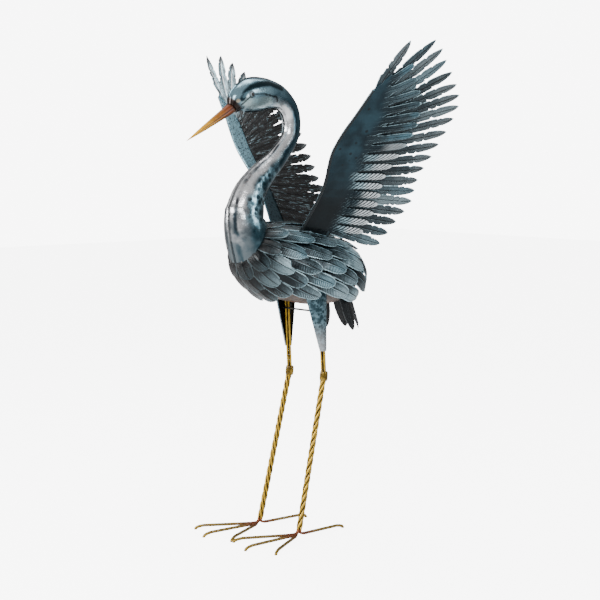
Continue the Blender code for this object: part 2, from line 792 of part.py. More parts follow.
def collar_mesh(name):
    """A turned collar with a rounded rim at each end."""
    shape = bmesh.new()
    half = KNEE_HEIGHT / 2
    profile = ((0.0, half), (0.62, half), (0.95, 0.72 * half), (1.0, 0.3 * half))
    outline = [(KNEE_RADIUS * share, height) for share, height in profile]
    outline += [(radius, -height) for radius, height in reversed(outline)]
    points = [shape.verts.new((radius, 0.0, height)) for radius, height in outline]
    for first, second in zip(points, points[1:]):
        shape.edges.new((first, second))
    geometry = list(shape.verts) + list(shape.edges)
    bmesh.ops.spin(
        shape, geom=geometry, cent=(0, 0, 0), axis=(0, 0, 1), angle=2 * math.pi, steps=10, use_merge=True
    )
    bmesh.ops.remove_doubles(shape, verts=shape.verts, dist=1e-5)
    bmesh.ops.recalc_face_normals(shape, faces=shape.faces)
    return mesh_from(shape, name)


def thigh(shop, name, side, body_cutter):
    """A hammered half-cone round the outside of the rods, open towards the other leg."""
    steps, levels = 8, 4
    shape = bmesh.new()
    rows = []
    for level in range(levels + 1):
        share = level / levels
        x, y, z = (a + (b - a) * share for a, b in zip(THIGH_TOP, THIGH_BOTTOM))
        half, depth = (a + (b - a) * share for a, b in zip(THIGH_TOP_HALF, THIGH_BOTTOM_HALF))
        row = []
        for step in range(steps + 1):
            turn = THIGH_WRAP * (2 * step / steps - 1)
            spot = (side * (x + depth * math.cos(turn)), y + half * math.sin(turn), z)
            row.append(shape.verts.new(spot))
        rows.append(row)
    for high, low in zip(rows, rows[1:]):
        for step in range(steps):
            shape.faces.new((high[step], high[step + 1], low[step + 1], low[step]))
    shape.normal_update()
    if next(iter(shape.faces)).normal.x * side < 0:
        bmesh.ops.reverse_faces(shape, faces=shape.faces)
    part = shop.add(f"{name}_thigh", mesh_from(shape, f"{name}_thigh"), shop.blue)
    add_sheet(part)
    add_boolean(part, body_cutter, "DIFFERENCE")


def brace(shop):
    """A thin rod across the front of both legs, under the belly."""
    height = BODY_CENTRE[1] - BODY_HALF_HEIGHT - BRACE_DROP
    share = (height - KNEE_PLACE[2]) / (UPPER_LEG_TOP[2] - KNEE_PLACE[2])
    x, y = (a + (b - a) * share for a, b in zip(KNEE_PLACE[:2], UPPER_LEG_TOP[:2]))
    y -= BUNDLE_RADIUS + BRACE_RADIUS + FIT_GAP
    half = x + BRACE_OVERRUN
    points = [Vector((-half, y, height)), Vector((half, y, height))]
    shop.add("leg_brace", tube_mesh("leg_brace", points, BRACE_RADIUS), shop.dark)


# Whole statue


def centre_shift():
    """How far the statue moves along Y so that its length is centred on the origin."""
    front = BEAK_TIP[0]
    back = max(long_place(feather, 1.0)[0].y for feather in range(LONG_COUNT))
    return -(front + back) / 2


def build_statue():
    """Model every sub-part."""
    clear_scene()
    shop = Workshop()
    shop.add("body_shell", body_mesh("body_shell"), shop.brown, shop.body_frame)
    body_cutter = shop.add_cutter("body_clearance", body_mesh("body_clearance", FIT_GAP), shop.body_frame)
    neck(shop, body_cutter)
    beak(shop)
    feather_rows(shop)
    tail(shop, body_cutter)
    for name, side in (("left", 1), ("right", -1)):
        wing(shop, name, side, body_cutter)
        thigh(shop, name, side, body_cutter)
        leg(shop, name, side, body_cutter)
    brace(shop)


build_statue()
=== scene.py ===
"""Looks of the crane garden statue: pressed and painted feathers, neck, wings and rods.

The bird faces -Y, its left side is +X and the ground is at Z = 0. Every piece is made in
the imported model's own place. Lengths are in metres.
"""
import math
import random
from collections.abc import Callable
from dataclasses import dataclass

import bmesh
import bpy
from bpy.props import FloatProperty, FloatVectorProperty, IntProperty, PointerProperty
from mathutils import Matrix, Vector


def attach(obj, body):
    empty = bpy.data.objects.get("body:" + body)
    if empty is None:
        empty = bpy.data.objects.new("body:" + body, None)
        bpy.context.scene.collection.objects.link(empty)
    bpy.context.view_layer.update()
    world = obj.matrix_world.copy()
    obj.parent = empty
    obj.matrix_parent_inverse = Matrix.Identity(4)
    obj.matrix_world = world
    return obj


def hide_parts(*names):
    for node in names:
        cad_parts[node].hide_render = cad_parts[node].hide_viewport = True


bl_info = {
    "name": "Crane garden statue",
    "version": (1, 0, 0),
    "blender": (4, 5, 0),
    "location": "3D View > Sidebar > Crane",
    "description": "Builds the painted sheet-metal pieces of a crane garden statue",
    "category": "Object",
}

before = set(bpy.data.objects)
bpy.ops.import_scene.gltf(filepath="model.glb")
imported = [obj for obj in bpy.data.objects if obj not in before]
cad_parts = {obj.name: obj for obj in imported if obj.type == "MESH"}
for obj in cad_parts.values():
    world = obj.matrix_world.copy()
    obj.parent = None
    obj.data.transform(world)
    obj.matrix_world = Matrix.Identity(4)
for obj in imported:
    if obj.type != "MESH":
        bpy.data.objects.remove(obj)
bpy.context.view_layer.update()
SIDES = (("left", 1), ("right", -1))

# How near points are joined, on all meshes and on the wings' sheets, and the least sharp edge
WELD = 1e-6
SHEET_WELD = 2e-5
CREASE = math.radians(50)

# Paint: gloss of its clear coat, strength and depth of fine relief, and the feathers' colours
COAT_ROUGHNESS = 0.22
FEATHER_BUMP = (0.5, 0.0006)
FEATHER_COLOURS = ("root", "tip", "blush", "silver", "dark")
WHITE = (1.0, 1.0, 1.0)

# Body: its centre is y and z, and the belly's edge is where bare paint ends, from z to z
BODY_CENTRE = (0.050, 0.610)
BODY_TILT = math.radians(12.5)
BODY_FRONT = 0.165
BODY_REAR = 0.176
BODY_HALF_WIDTH = 0.084
BODY_HALF_HEIGHT = 0.083
BODY_FULLNESS = 2.4
BODY_TOP = BODY_CENTRE[1] + BODY_HALF_HEIGHT
PLUMAGE_TILT = math.radians(18)
HEM_ANGLE = math.radians(29.5)
BODY_RINGS = 56
BODY_TURNS = 72
BELLY_EDGE = (BODY_CENTRE[1] - 0.062, BODY_CENTRE[1] - 0.046)

# Rows of body feathers. A row reaches that many degrees round from the spine, its feathers
# stand off the body by the lift and then by the rise for each metre of length, and the first
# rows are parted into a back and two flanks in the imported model.
FEATHER_LENGTH = 0.094
ROW_STEP = 0.055
ROW_LEAD = 0.0075
ROOT_LIFT = 0.0019
FEATHER_RISE = 0.075
REAR_RISE = 0.030
ROW_REACH = (179, 178, 140, 122, 122)
NECK_BASE_LENGTH = 0.045
NECK_BASE_LIFT = 0.0050
NECK_BASE_TUCK = 0.012
PARTED_ROWS = 3
FEATHER_OVERLAP = 1.06

# Neck and head, from the beak to the breast. A row of the line is y, height above the body,
# radius, and half-width as a share of the radius; other places on the head are y and height.
NECK_LINE = (
    (-0.1290, 0.2690, 0.0130, 0.95),
    (-0.1120, 0.2865, 0.0270, 0.82),
    (-0.0840, 0.2965, 0.0352, 0.76),
    (-0.0560, 0.2995, 0.0352, 0.78),
    (-0.0260, 0.2995, 0.0305, 0.84),
    (0.0080, 0.2905, 0.0251, 0.94),
    (0.0340, 0.2620, 0.0219, 1.00),
    (0.0395, 0.2250, 0.0207, 1.00),
    (0.0280, 0.1950, 0.0205, 1.00),
    (-0.0080, 0.1550, 0.0236, 1.00),
    (-0.0500, 0.1190, 0.0300, 1.00),
    (-0.0820, 0.0810, 0.0365, 1.00),
    (-0.0960, 0.0390, 0.0440, 1.00),
)
NECK_SWELL = 0.0060
NECK_HEM_LIFT = 0.0075
NECK_SEAT_DEPTH = 0.012
SEAM_FLANGE = 0.0026
SEAM_WIDTH = 0.0022
HEAD_KEYS = 6
HEAD_END = 5.9
HEAD_STEPS = 20
NECK_STEPS = 10
NECK_SECTIONS = 84
SWELL_RINGS = 9
EYE_INSET = 0.0008
EYE_RINGS = 14
EYE_TURNS = 24
EYE_COLOURS = ((0.004, 0.004, 0.005), (0.16, 0.22, 0.25), (0.006, 0.014, 0.018))
FACE_BROWN = (0.018, 0.009, 0.007)
EYE_PLACE = (-0.0930, 0.2975)
EYE_LINE = (
    (-0.1160, 0.2750), (-0.0930, 0.2975), (-0.0620, 0.2995), (-0.0230, 0.2930), (-0.0190, 0.2840)
)
BROW_LINE = (
    (-0.1160, 0.2880), (-0.1080, 0.3010), (-0.0920, 0.3130),
    (-0.0650, 0.3205), (-0.0400, 0.3225), (-0.0060, 0.3130),
)
CHEEK_LINE = ((-0.1040, 0.2830), (-0.0850, 0.2780), (-0.0450, 0.2830))
CREAM_PLACE = (-0.1250, 0.2835)
BEAK_TIP = (-0.2513, 0.1967)
BEAK_RADIUS = 0.0118
BEAK_HALF_WIDTH = 0.0100
BEAK_TAPER = ((0, 1.0), (0.08, 0.97), (0.3, 0.80), (0.65, 0.48), (0.9, 0.17), (1, 0.03))
BEAK_GAP = 0.0003
BEAK_RINGS = 40
BEAK_TURNS = 36
# Dark brown at the root of the beak and along its mouth line
BEAK_DARK = (0.030, 0.014, 0.010)
BEAK_UNDER = (0.10, 0.040, 0.012)

# Wings. The front edge is z and y, and the roots and tips are a feather's number, y and z,
# with the lean in degrees for a long feather's tip. Feathers are joined up to a share of
# their length.
WING_ROOT = (0.050, 0.030, 0.700)
WING_LEAN = 0.62
WING_FLARE = 0.30
WING_SWEEP = 0.22
PANEL_LIFT = 0.0016
PANEL_RISE = 0.0026
PANEL_APRON = 2.6
LEADING_EDGE = (
    (0.660, 0.022),
    (0.700, 0.029),
    (0.790, 0.037),
    (0.875, 0.019),
    (0.970, 0.036),
    (1.060, 0.050),
)
SHORT_COUNT = 17
SHORT_ROOTS = (0.990, 0.708)
SHORT_TIPS = (
    (0, 0.103, 1.052),
    (2, 0.155, 0.998),
    (4, 0.186, 0.951),
    (6, 0.196, 0.906),
    (10, 0.179, 0.814),
    (13, 0.193, 0.750),
    (16, 0.186, 0.687),
)
LONG_COUNT = 20
LONG_ROOTS = (
    (0, 0.052, 0.975),
    (4, 0.066, 0.935),
    (9, 0.060, 0.868),
    (14, 0.070, 0.790),
    (19, 0.072, 0.702),
)
LONG_TIPS = (
    (0, 0.068, 1.096, 76),
    (1, 0.125, 1.100, 54),
    (3, 0.181, 1.060, 42),
    (5, 0.241, 1.011, 20),
    (7, 0.278, 0.965, 12),
    (10, 0.281, 0.881, 7),
    (13, 0.272, 0.802, 1),
    (15, 0.283, 0.753, -4),
    (19, 0.250, 0.653, -15),
)
LONG_BEND = 0.075
LONG_REACH = 0.994
JOINED = 0.5
PANEL_STEPS = 64
LONG_STEPS = 60
ROLL_RADIUS = 0.0024
ROLL_TURN = math.radians(320)
ROLL_STEPS = 10
NOTCH_PLACES = (0.55, 0.84)
NOTCH_REACH = 0.045
NOTCH_DEPTHS = (0.25, 0.45)
FRINGE_WHITE = (0.92, 0.97, 1.0)
# Painted reflection along the shaft inside the first long feathers
SHAFT_REFLECTION = (0.8, 0.82, 0.84)

# Tail: its places are y and z
TAIL_COUNT = 4
TAIL_SPREAD = math.radians(88)
TAIL_ROOT_RADIUS = 0.037
TAIL_ROOT_PLACE = (0.162, 0.550)
TAIL_TIP_RADIUS = 0.045
TAIL_TIP_PLACE = (0.186, 0.455)

# Legs: the left one's places. A toe's angle is in degrees from straight ahead.
FOOT_SPREAD = 0.070
HUB_HEIGHT = 0.0065
KNEE_PLACE = (0.060, 0.085, 0.360)
UPPER_LEG_TOP = (0.0590, 0.0735, 0.575)
STRANDS = 4
KNEE_RADIUS = 0.0095
KNEE_HEIGHT = 0.022
TOE_ANGLES = (-28.5, 0.0, 28.5, 180.0)
TOE_LENGTHS = (0.148, 0.156, 0.148, 0.140)
TOE_TURN = 2.0
TOE_DROP = 0.020
TOE_HEIGHT = 0.0078
FOOT_BEND = 0.016
TWIST_STEPS = 150
BEND_STEPS = 12
STRAIGHT_ROD = {"rib_pitch": 1.0, "rib_depth": 0.0, "step": 0.004}
COLLAR_OUTLINE = ((0.72, 1.0), (0.84, 0.97), (0.93, 0.84), (0.98, 0.60), (1.0, 0.30), (1.0, 0.08))
COLLAR_REACH = 1.94
COLLAR_TURNS = 32
BRACE_GREY = (0.035, 0.032, 0.030)
BRACE_RADIUS = 0.0022
BRACE_DROP = 0.019
BRACE_OVERRUN = 0.002
THIGH_TOP = (0.0520, 0.0660, 0.556)
THIGH_BOTTOM = (0.0597, 0.0819, 0.418)
THIGH_TOP_HALF = (0.0305, 0.0165)
THIGH_BOTTOM_HALF = (0.0077, 0.0077)
THIGH_WRAP = math.radians(96)
THIGH_LEVELS = 70
THIGH_STEPS = 44
THIGH_BLACK = (0.012, 0.012, 0.013)

# Stage
FLOOR_REACH = 9
FLOOR_GLOW = 0.85
SENSOR_WIDTH = 36.0


# Settings


def length(name, description, default):
    """A length that the panel shows in the scene's units."""
    return FloatProperty(
        name=name, description=description, default=default, precision=5, subtype="DISTANCE", unit="LENGTH"
    )


def number(name, description, default):
    """A plain number."""
    return FloatProperty(name=name, description=description, default=default)


def angle(name, description, degrees):
    """An angle, written in degrees."""
    return FloatProperty(
        name=name, description=description, default=math.radians(degrees), subtype="ANGLE", unit="ROTATION"
    )


def colour(name, description, default):
    """A colour of paint or light."""
    return FloatVectorProperty(
        name=name, description=description, default=default, size=3, min=0.0, max=1.0, subtype="COLOR"
    )


class CranePlumage(bpy.types.PropertyGroup):
    """Sizes and colours of the pressed feathers on the body, wings and tail."""

    sheet: length("Sheet", "Thickness of the sheet metal", 0.0011)
    width: length("Body feather width", "Width of one body feather", 0.033)
    crown: length("Crown", "How far the middle of a feather stands up", 0.0027)
    shingle: length("Shingle", "How far one edge of a body feather stands over the next", 0.0015)
    shaft: length("Shaft height", "Height of the pressed shaft", 0.0012)
    barb_depth: length("Barb depth", "Depth of the pressed barbs", 0.00022)
    rim: length("Rim", "Height of the turned rim", 0.0007)
    dent: length("Dent depth", "Depth of the dents from handling the sheet", 0.0012)
    wander: length("Wander", "How far a feather's tip stands above or below its row", 0.0030)
    short_width: length("Short feather width", "Width of the panel's short feathers", 0.020)
    long_width: length("Long feather width", "Width of the long feathers", 0.0262)
    tail_width: length("Tail feather width", "Width of the tail feathers", 0.031)
    seed: IntProperty(name="Seed", description="Seed of the random differences", default=7)
    root: colour("Root", "Paint at the roots of the body feathers", (0.002, 0.012, 0.019))
    tip: colour("Tip", "Paint at the tips of the body feathers", (0.042, 0.140, 0.195))
    blush: colour("Blush", "Greyer paint at the tips of some feathers", (0.080, 0.125, 0.152))
    # Silver also paints the highlight along the feathers' shafts.
    silver: colour("Silver", "Brushed rims and shafts", (0.58, 0.84, 0.94))
    slate: colour("Slate", "Paint of the wing panels", (0.020, 0.056, 0.078))
    sky: colour("Sky", "Paint inside the wings", (0.38, 0.66, 0.78))
    # Dark also paints the shade in the feathers' grooves and just inside their rims.
    dark: colour("Dark", "Paint in the grooves of the feathers", (0.004, 0.007, 0.009))
    smoke: colour("Smoke", "Paint at the tips of the long feathers", (0.092, 0.105, 0.112))
    soot: colour("Soot", "Paint of the tail and the backs of the long feathers", (0.014, 0.015, 0.016))


class CraneBody(bpy.types.PropertyGroup):
    """Sizes and colours of the body shell, neck, beak and thighs."""

    dimple: length("Dimple size", "Distance between hammered dimples", 0.013)
    dimple_depth: length("Dimple depth", "Depth of the hammered dimples", 0.0009)
    eye: length("Eye", "Radius of the eye", 0.0055)
    groove: length("Mouth groove", "Depth of the mouth line", 0.0022)
    belly: colour("Belly", "Paint of the belly", (0.14, 0.105, 0.090))
    rust: colour("Rust", "Rusty patches of the belly", (0.17, 0.060, 0.028))
    shade: colour("Shade", "Body shell under the feathers", (0.004, 0.010, 0.013))
    silver: colour("Silver", "Bright front of the neck", (0.97, 0.98, 1.0))
    slate: colour("Slate", "Sides of the neck", (0.038, 0.098, 0.135))
    teal: colour("Teal", "Hammered breast and thighs", (0.006, 0.038, 0.054))
    ice: colour("Ice", "Light patches between the hammer marks", (0.30, 0.50, 0.60))
    crown: colour("Crown", "Top of the head", (0.32, 0.52, 0.62))
    cheek: colour("Cheek", "Bright cheek", (0.50, 0.66, 0.68))
    cream: colour("Cream", "Patch over the root of the beak", (0.72, 0.62, 0.46))
    # Painted dark reflections on the chrome front of the neck, beside its seam.
    smear: colour("Smear", "Dark smears beside the front seam of the neck", (0.036, 0.042, 0.052))
    brow: colour("Brow", "Stripe from the beak over the eye", (0.005, 0.028, 0.040))
    line: colour("Line", "Seams and the line through the eye", (0.004, 0.007, 0.009))
    beak_root: colour("Beak root", "Paint at the root of the beak", (0.20, 0.040, 0.004))
    beak_tip: colour("Beak tip", "Paint at the tip of the beak", (0.98, 0.50, 0.002))


class CraneLegs(bpy.types.PropertyGroup):
    """Sizes and colours of the legs and feet."""

    rod: length("Rod radius", "Radius of the rods of the legs", 0.0029)
    toe: length("Toe radius", "Radius of a toe over its ribs", 0.0037)
    twist: length("Twist length", "Length of one full turn of the bundle", 0.082)
    rib_pitch: length("Rib pitch", "Distance between the ribs of a toe", 0.0042)
    rib_depth: number("Rib depth", "Depth of the ribs as a share of the radius", 0.20)
    gold: colour("Gold", "Paint of the rods", (0.70, 0.43, 0.028))
    # Dark wash, and painted shade between the strands and in the toes' ribs.
    wash: colour("Wash", "Dark wash in the grooves", (0.020, 0.010, 0.004))
    copper: colour("Copper", "Paint of the feet round the leg", (0.34, 0.105, 0.042))
    olive: colour("Olive", "Paint along the toes", (0.46, 0.32, 0.085))
    black: colour("Black", "Paint of the brace", (0.012, 0.012, 0.013))


class CraneStage(bpy.types.PropertyGroup):
    """Camera, floor and lights."""

    azimuth: angle("Azimuth", "Direction of the camera round the statue", 49.41)
    elevation: angle("Elevation", "Height of the camera's view", 5.87)
    distance: length("Distance", "From the camera to its target", 3.423)
    aim: length("Aim", "Height that the camera looks at", 0.5299)
    aim_back: length("Aim back", "How far behind the origin the camera looks", 0.0496)
    lens: number("Lens", "Focal length in millimetres", 90.08)
    floor: colour("Floor", "Colour of the floor", (0.86, 0.86, 0.86))
    sky: number("Sky", "Strength of the even light", 0.24)
    glow: number("Glow", "Brightness of the backdrop and the floor in the picture", 8.0)
    key: FloatProperty(name="Key", description="Power of each front light", default=58.0, unit="POWER")
    rim: FloatProperty(name="Rim", description="Power of the side and top lights", default=40.0, unit="POWER")


# Shapes


def smooth_through(keys, at):
    """Values at a place between rows of (place, value, ...), smooth between, straight beyond."""
    last = len(keys) - 1

    def slope(row):
        """Slope of each value at a row."""
        low, high = keys[max(row - 1, 0)], keys[min(row + 1, last)]
        return [(b - a) / (high[0] - low[0]) for a, b in zip(low[1:], high[1:])]

    if at <= keys[0][0] or at >= keys[last][0]:
        end = 0 if at <= keys[0][0] else last
        return [v + s * (at - keys[end][0]) for v, s in zip(keys[end][1:], slope(end))]
    row = max(r for r in range(last) if keys[r][0] <= at)
    span = keys[row + 1][0] - keys[row][0]
    t = (at - keys[row][0]) / span
    values = []
    for a, b, start, end in zip(keys[row][1:], keys[row + 1][1:], slope(row), slope(row + 1)):
        first = (1 + 2 * t) * (1 - t) ** 2 * a + t * (1 - t) ** 2 * span * start
        second = t * t * (3 - 2 * t) * b + t * t * (t - 1) * span * end
        values.append(first + second)
    return values


def step(value, low, high):
    """Smooth step from 0 at low to 1 at high."""
    t = min(max((value - low) / (high - low), 0.0), 1.0)
    return t * t * (3 - 2 * t)


def between(first, second, share):
    """Values a share of the way from some values to others."""
    return [a + (b - a) * share for a, b in zip(first, second)]


def statue_shift():
    """How far the statue moves along Y so that its length is centred on the origin."""
    back = max(smooth_through(LONG_TIPS, feather)[0] for feather in range(LONG_COUNT))
    return -(BEAK_TIP[0] + back) / 2


SHIFT = statue_shift()
BODY_MATRIX = Matrix.Translation((0.0, BODY_CENTRE[0] + SHIFT, BODY_CENTRE[1])) @ Matrix.Rotation(
    -BODY_TILT, 4, "X"
)


def body_direction(back, around):
    """Direction of a point on the body: back from the breast, and round from the spine."""
    breast = Vector((0, -math.cos(PLUMAGE_TILT), math.sin(PLUMAGE_TILT)))
    spine = Vector((0, math.sin(PLUMAGE_TILT), math.cos(PLUMAGE_TILT)))
    ring = spine * math.cos(around) + Vector((1, 0, 0)) * math.sin(around)
    return breast * math.cos(back) + ring * math.sin(back)


def egg(direction):
    """Point and outward normal of the egg-shaped body, in the body's own frame."""
    power = 2 / BODY_FULLNESS
    reach = BODY_FRONT if direction.y < 0 else BODY_REAR
    ring = math.hypot(direction.x, direction.z)
    swell = ring ** (power - 1) if ring > 1e-9 else 0.0
    along = math.copysign(abs(direction.y) ** power, direction.y)
    across, height = direction.x * swell, direction.z * swell
    point = Vector((across * BODY_HALF_WIDTH, along * reach, height * BODY_HALF_HEIGHT))
    grade = (ring**power) ** (BODY_FULLNESS - 2)
    normal = Vector((
        grade * across / BODY_HALF_WIDTH,
        math.copysign(abs(along) ** (BODY_FULLNESS - 1), along) / reach,
        grade * height / BODY_HALF_HEIGHT,
    ))
    return point, normal.normalized()


def body_place(back, around, lift=0.0):
    """Point of the body lifted along its normal, and that normal, in the statue's place."""
    point, normal = egg(body_direction(back, around))
    return BODY_MATRIX @ (point + normal * lift), BODY_MATRIX.to_3x3() @ normal


def flank_walk():
    """Distance along the flank from the breast for each degree back from it."""
    walk = [0.0]
    before = body_place(0.0, math.pi / 2)[0]
    for degree in range(1, 181):
        here = body_place(math.radians(degree), math.pi / 2)[0]
        walk.append(walk[-1] + (here - before).length)
        before = here
    return walk


FLANK_WALK = flank_walk()


def flank_angle(distance):
    """Angle back from the breast at a distance along the flank."""
    distance = min(max(distance, 0.0), FLANK_WALK[-1])
    degree = max(d for d in range(180) if FLANK_WALK[d] <= distance)
    gap = FLANK_WALK[degree + 1] - FLANK_WALK[degree]
    return math.radians(degree + (distance - FLANK_WALK[degree]) / gap)


def hem_distance():
    """Distance along the flank from the breast to the neck's hem."""
    degree = math.degrees(HEM_ANGLE)
    low = int(degree)
    return FLANK_WALK[low] + (degree - low) * (FLANK_WALK[low + 1] - FLANK_WALK[low])


def wing_place(y, z, lift=0.0):
    """Point and outward normal of the left wing's surface."""
    rise = z - WING_ROOT[2]
    x = WING_ROOT[0] + WING_LEAN * rise + WING_FLARE * rise**2 + WING_SWEEP * (y - WING_ROOT[1])
    normal = Vector((1.0, -WING_SWEEP, -(WING_LEAN + 2 * WING_FLARE * rise))).normalized()
    return Vector((x, y + SHIFT, z)) + normal * lift, normal


def short_place(feather, share):
    """Surface of the wing panel, from its leading edge to the tips of its short feathers."""
    z = SHORT_ROOTS[0] + (SHORT_ROOTS[1] - SHORT_ROOTS[0]) * feather / (SHORT_COUNT - 1)
    root = (smooth_through(LEADING_EDGE, z)[0], z)
    y, z = between(root, smooth_through(SHORT_TIPS, feather), share)
    return wing_place(y, z, PANEL_LIFT + PANEL_RISE * share)


def long_place(feather, share):
    """Surface of the row of long feathers behind the panel, each on a bent shaft."""
    root = smooth_through(LONG_ROOTS, feather)
    y, z, lean = smooth_through(LONG_TIPS, feather)
    lean = math.radians(lean)
    bend = (y - LONG_BEND * math.cos(lean), z - LONG_BEND * math.sin(lean))
    share *= LONG_REACH
    weights = ((1 - share) ** 2, 2 * share * (1 - share), share**2)
    return wing_place(*(sum(w * p for w, p in zip(weights, line)) for line in zip(root, bend, (y, z))))


def tail_place(feather, share):
    """Surface of the tail feathers, which hang from the rump in a curved row."""
    turn = TAIL_SPREAD * (2 * feather / (TAIL_COUNT - 1) - 1)
    radius = TAIL_ROOT_RADIUS + (TAIL_TIP_RADIUS - TAIL_ROOT_RADIUS) * share
    y, z = between(TAIL_ROOT_PLACE, TAIL_TIP_PLACE, share)
    point = Vector((radius * math.sin(turn), y + SHIFT + radius * math.cos(turn), z))
    return point, Vector((math.sin(turn), math.cos(turn), 0.0))


# Meshes


def mesh_of(name, points, faces, marks, weld=WELD, outward=False):
    """A mesh with its doubles merged, and with marks: a dict for each point, or one for all."""
    marks = marks if isinstance(marks, list) else [marks] * len(points)
    mesh = bpy.data.meshes.new(name)
    mesh.from_pydata(points, [], faces)
    for key in marks[0]:
        values = [mark[key] for mark in marks]
        mesh.attributes.new(key, "FLOAT", "POINT").data.foreach_set("value", values)
    shape = bmesh.new()
    shape.from_mesh(mesh)
    bmesh.ops.remove_doubles(shape, verts=shape.verts, dist=weld)
    bmesh.ops.dissolve_degenerate(shape, edges=shape.edges, dist=weld)
    if outward:
        shape.normal_update()
        bmesh.ops.recalc_face_normals(shape, faces=shape.faces)
    shape.to_mesh(mesh)
    shape.free()
    mesh.shade_smooth()
    return mesh


def grid_faces(start, rows, columns, closed=False):
    """Faces of a grid of points, row by row, with its columns joined round where closed."""
    faces = []
    for row in range(rows - 1):
        for column in range(columns if closed else columns - 1):
            here = start + row * columns + column
            after = start + row * columns + (column + 1) % columns
            faces.append((here, after, after + columns, here + columns))
    return faces


def loft(name, rings, marks):
    """A closed body through rings of equally many points."""
    points = [point for ring in rings for point in ring]
    size = len(rings[0])
    faces = grid_faces(0, len(rings), size, closed=True)
    faces += [tuple(range(size)), tuple(range(len(points) - size, len(points)))]
    return mesh_of(name, points, faces, marks, outward=True)


def circle(count):
    """Places on a circle of radius 1."""
    return [(math.cos(math.tau * t / count), math.sin(math.tau * t / count)) for t in range(count)]


def rounded(share, start, power):
    """Width of a feather's end: full up to start, then closing to nothing at the tip."""
    if share <= start:
        return 1.0
    return max(1 - ((share - start) / (1 - start)) ** power, 0.0) ** (1 / power)


def body_outline(share):
    """Half-width and bulge of a body feather."""
    return 0.54 * rounded(share, 0.60, 2.1), math.sin(math.pi * min(share, 0.95))


def short_outline(share):
    """Half-width and bulge of a short wing feather, which is cut from the panel."""
    if share <= JOINED:
        return 0.5, 0.0
    return (0.5 - 0.07 * step(share, 0.5, 0.6)) * rounded(share, 0.86, 2.0), step(share, 0.5, 0.62)


def long_outline(share):
    """Half-width and bulge of a long wing feather, which meets its neighbours behind the panel."""
    half = 0.5 if share <= JOINED else 0.49 * rounded(share, 0.68, 1.6)
    return half, step(share, 0.1, 0.6)


def tail_outline(share):
    """Half-width and bulge of a tail feather."""
    return (0.5 - 0.01 * step(share, 0.2, 0.4)) * rounded(share, 0.46, 1.7), step(share, 0.0, 0.4)


@dataclass
class Row:
    """A row of feathers: the surface they lie on, their outline and how freely they sit."""

    place: Callable
    count: int
    outline: Callable
    width: float
    side: int = 1
    crown: float = 0.0
    shingle: float = 0.0
    wander: float = 0.0
    sink: float = 0.0
    joined: float = 0.0
    across: int = 6
    along: int = 34
    notches: int = 0


def run_shares(count):
    """Shares of a feather's length, closer together toward its tip."""
    return [1 - (1 - t / count) ** 1.35 for t in range(count + 1)]


def notch_cut(cuts, share):
    """Share of a feather's half-width that is left beside its notches."""
    left = 1.0
    for at, depth in cuts:
        if at <= share < at + NOTCH_REACH:
            left *= 1 - depth * (1 - (share - at) / NOTCH_REACH)
    return left


def feather_mesh(name, row, seed, weld=WELD):
    """All the feathers of a row as open strips, with the marks that the nodes read."""
    draw = random.Random(seed)
    points, faces, marks = [], [], []
    for feather in range(row.count):
        tone, lift = draw.random(), (draw.uniform(-1, 1) - row.sink) * row.wander
        cuts = {}
        for edge in (-1, 1):
            spots = sorted(draw.uniform(*NOTCH_PLACES) for _ in range(row.notches))
            cuts[edge] = [(spot, draw.uniform(*NOTCH_DEPTHS)) for spot in spots]
        sharp = {at + more for edge in cuts.values() for at, _ in edge for more in (-0.001, 0.0)}
        shares = sorted({*run_shares(row.along), *sharp})
        start = len(points)
        for share in shares:
            half, bulge = row.outline(share)
            gap = (row.place(feather + 0.5, share)[0] - row.place(feather - 0.5, share)[0]).length
            half = min(half, half * row.width / gap) if half != 0.5 else half
            free = max(share - row.joined, 0.0) / (1 - row.joined)
            for column in range(-row.across, row.across + 1):
                c = column / row.across
                cut = notch_cut(cuts[1 if c > 0 else -1], share) if c else 1.0
                point, normal = row.place(feather + c * half * cut, share)
                raised = row.crown * (1 - c * c) * bulge * step(share, 1.0, 0.85)
                raised += row.shingle * c * step(share, row.joined, row.joined + 0.33)
                point = point + normal * (raised + lift * free * free)
                points.append((row.side * point.x, point.y, point.z))
                order = feather / max(row.count - 1, 1)
                marks.append({"side": c, "run": share, "tone": tone, "order": order})
        strip = grid_faces(start, len(shares), 2 * row.across + 1)
        middle = row.along // 2
        a, b, c = (Vector(points[corner]) for corner in strip[middle * 2 * row.across][:3])
        outward = row.place(feather, shares[middle])[1]
        outward.x *= row.side
        turned = (b - a).cross(c - b).dot(outward) < 0
        faces += [face[::-1] for face in strip] if turned else strip
    return mesh_of(name, points, faces, marks, weld)


# Node trees


def label(key):
    """Name of a socket, from its name in this script."""
    return key.replace("_", " ").title()


class Value:
    """A node's output, so that a formula can be written with it."""

    def __init__(self, graph, socket):
        self.graph, self.socket = graph, socket

    def __add__(self, other):
        return self.graph.math("ADD", self, other)

    def __sub__(self, other):
        return self.graph.math("SUBTRACT", self, other)

    def __mul__(self, other):
        return self.graph.math("MULTIPLY", self, other)

    def __truediv__(self, other):
        return self.graph.math("DIVIDE", self, other)

    def __rtruediv__(self, other):
        return self.graph.math("DIVIDE", other, self)

    def __abs__(self):
        return self.graph.math("ABSOLUTE", self)

    def most(self, other):
        """The greater of two values."""
        return self.graph.math("MAXIMUM", self, other)

    def step(self, low, high, start=0.0, end=1.0):
        """Smooth step from start at low to end at high."""
        inputs = (self, low, high, start, end)
        return self.graph.out("ShaderNodeMapRange", inputs, interpolation_type="SMOOTHSTEP")

    def fall(self, low, high):
        """Smooth step from 1 at low to 0 at high."""
        return self.step(low, high, 1.0, 0.0)

    def wave(self):
        """Wave between 0 and 1 that repeats at every whole number."""
        return self.graph.math("SINE", self * math.tau) * 0.5 + 0.5


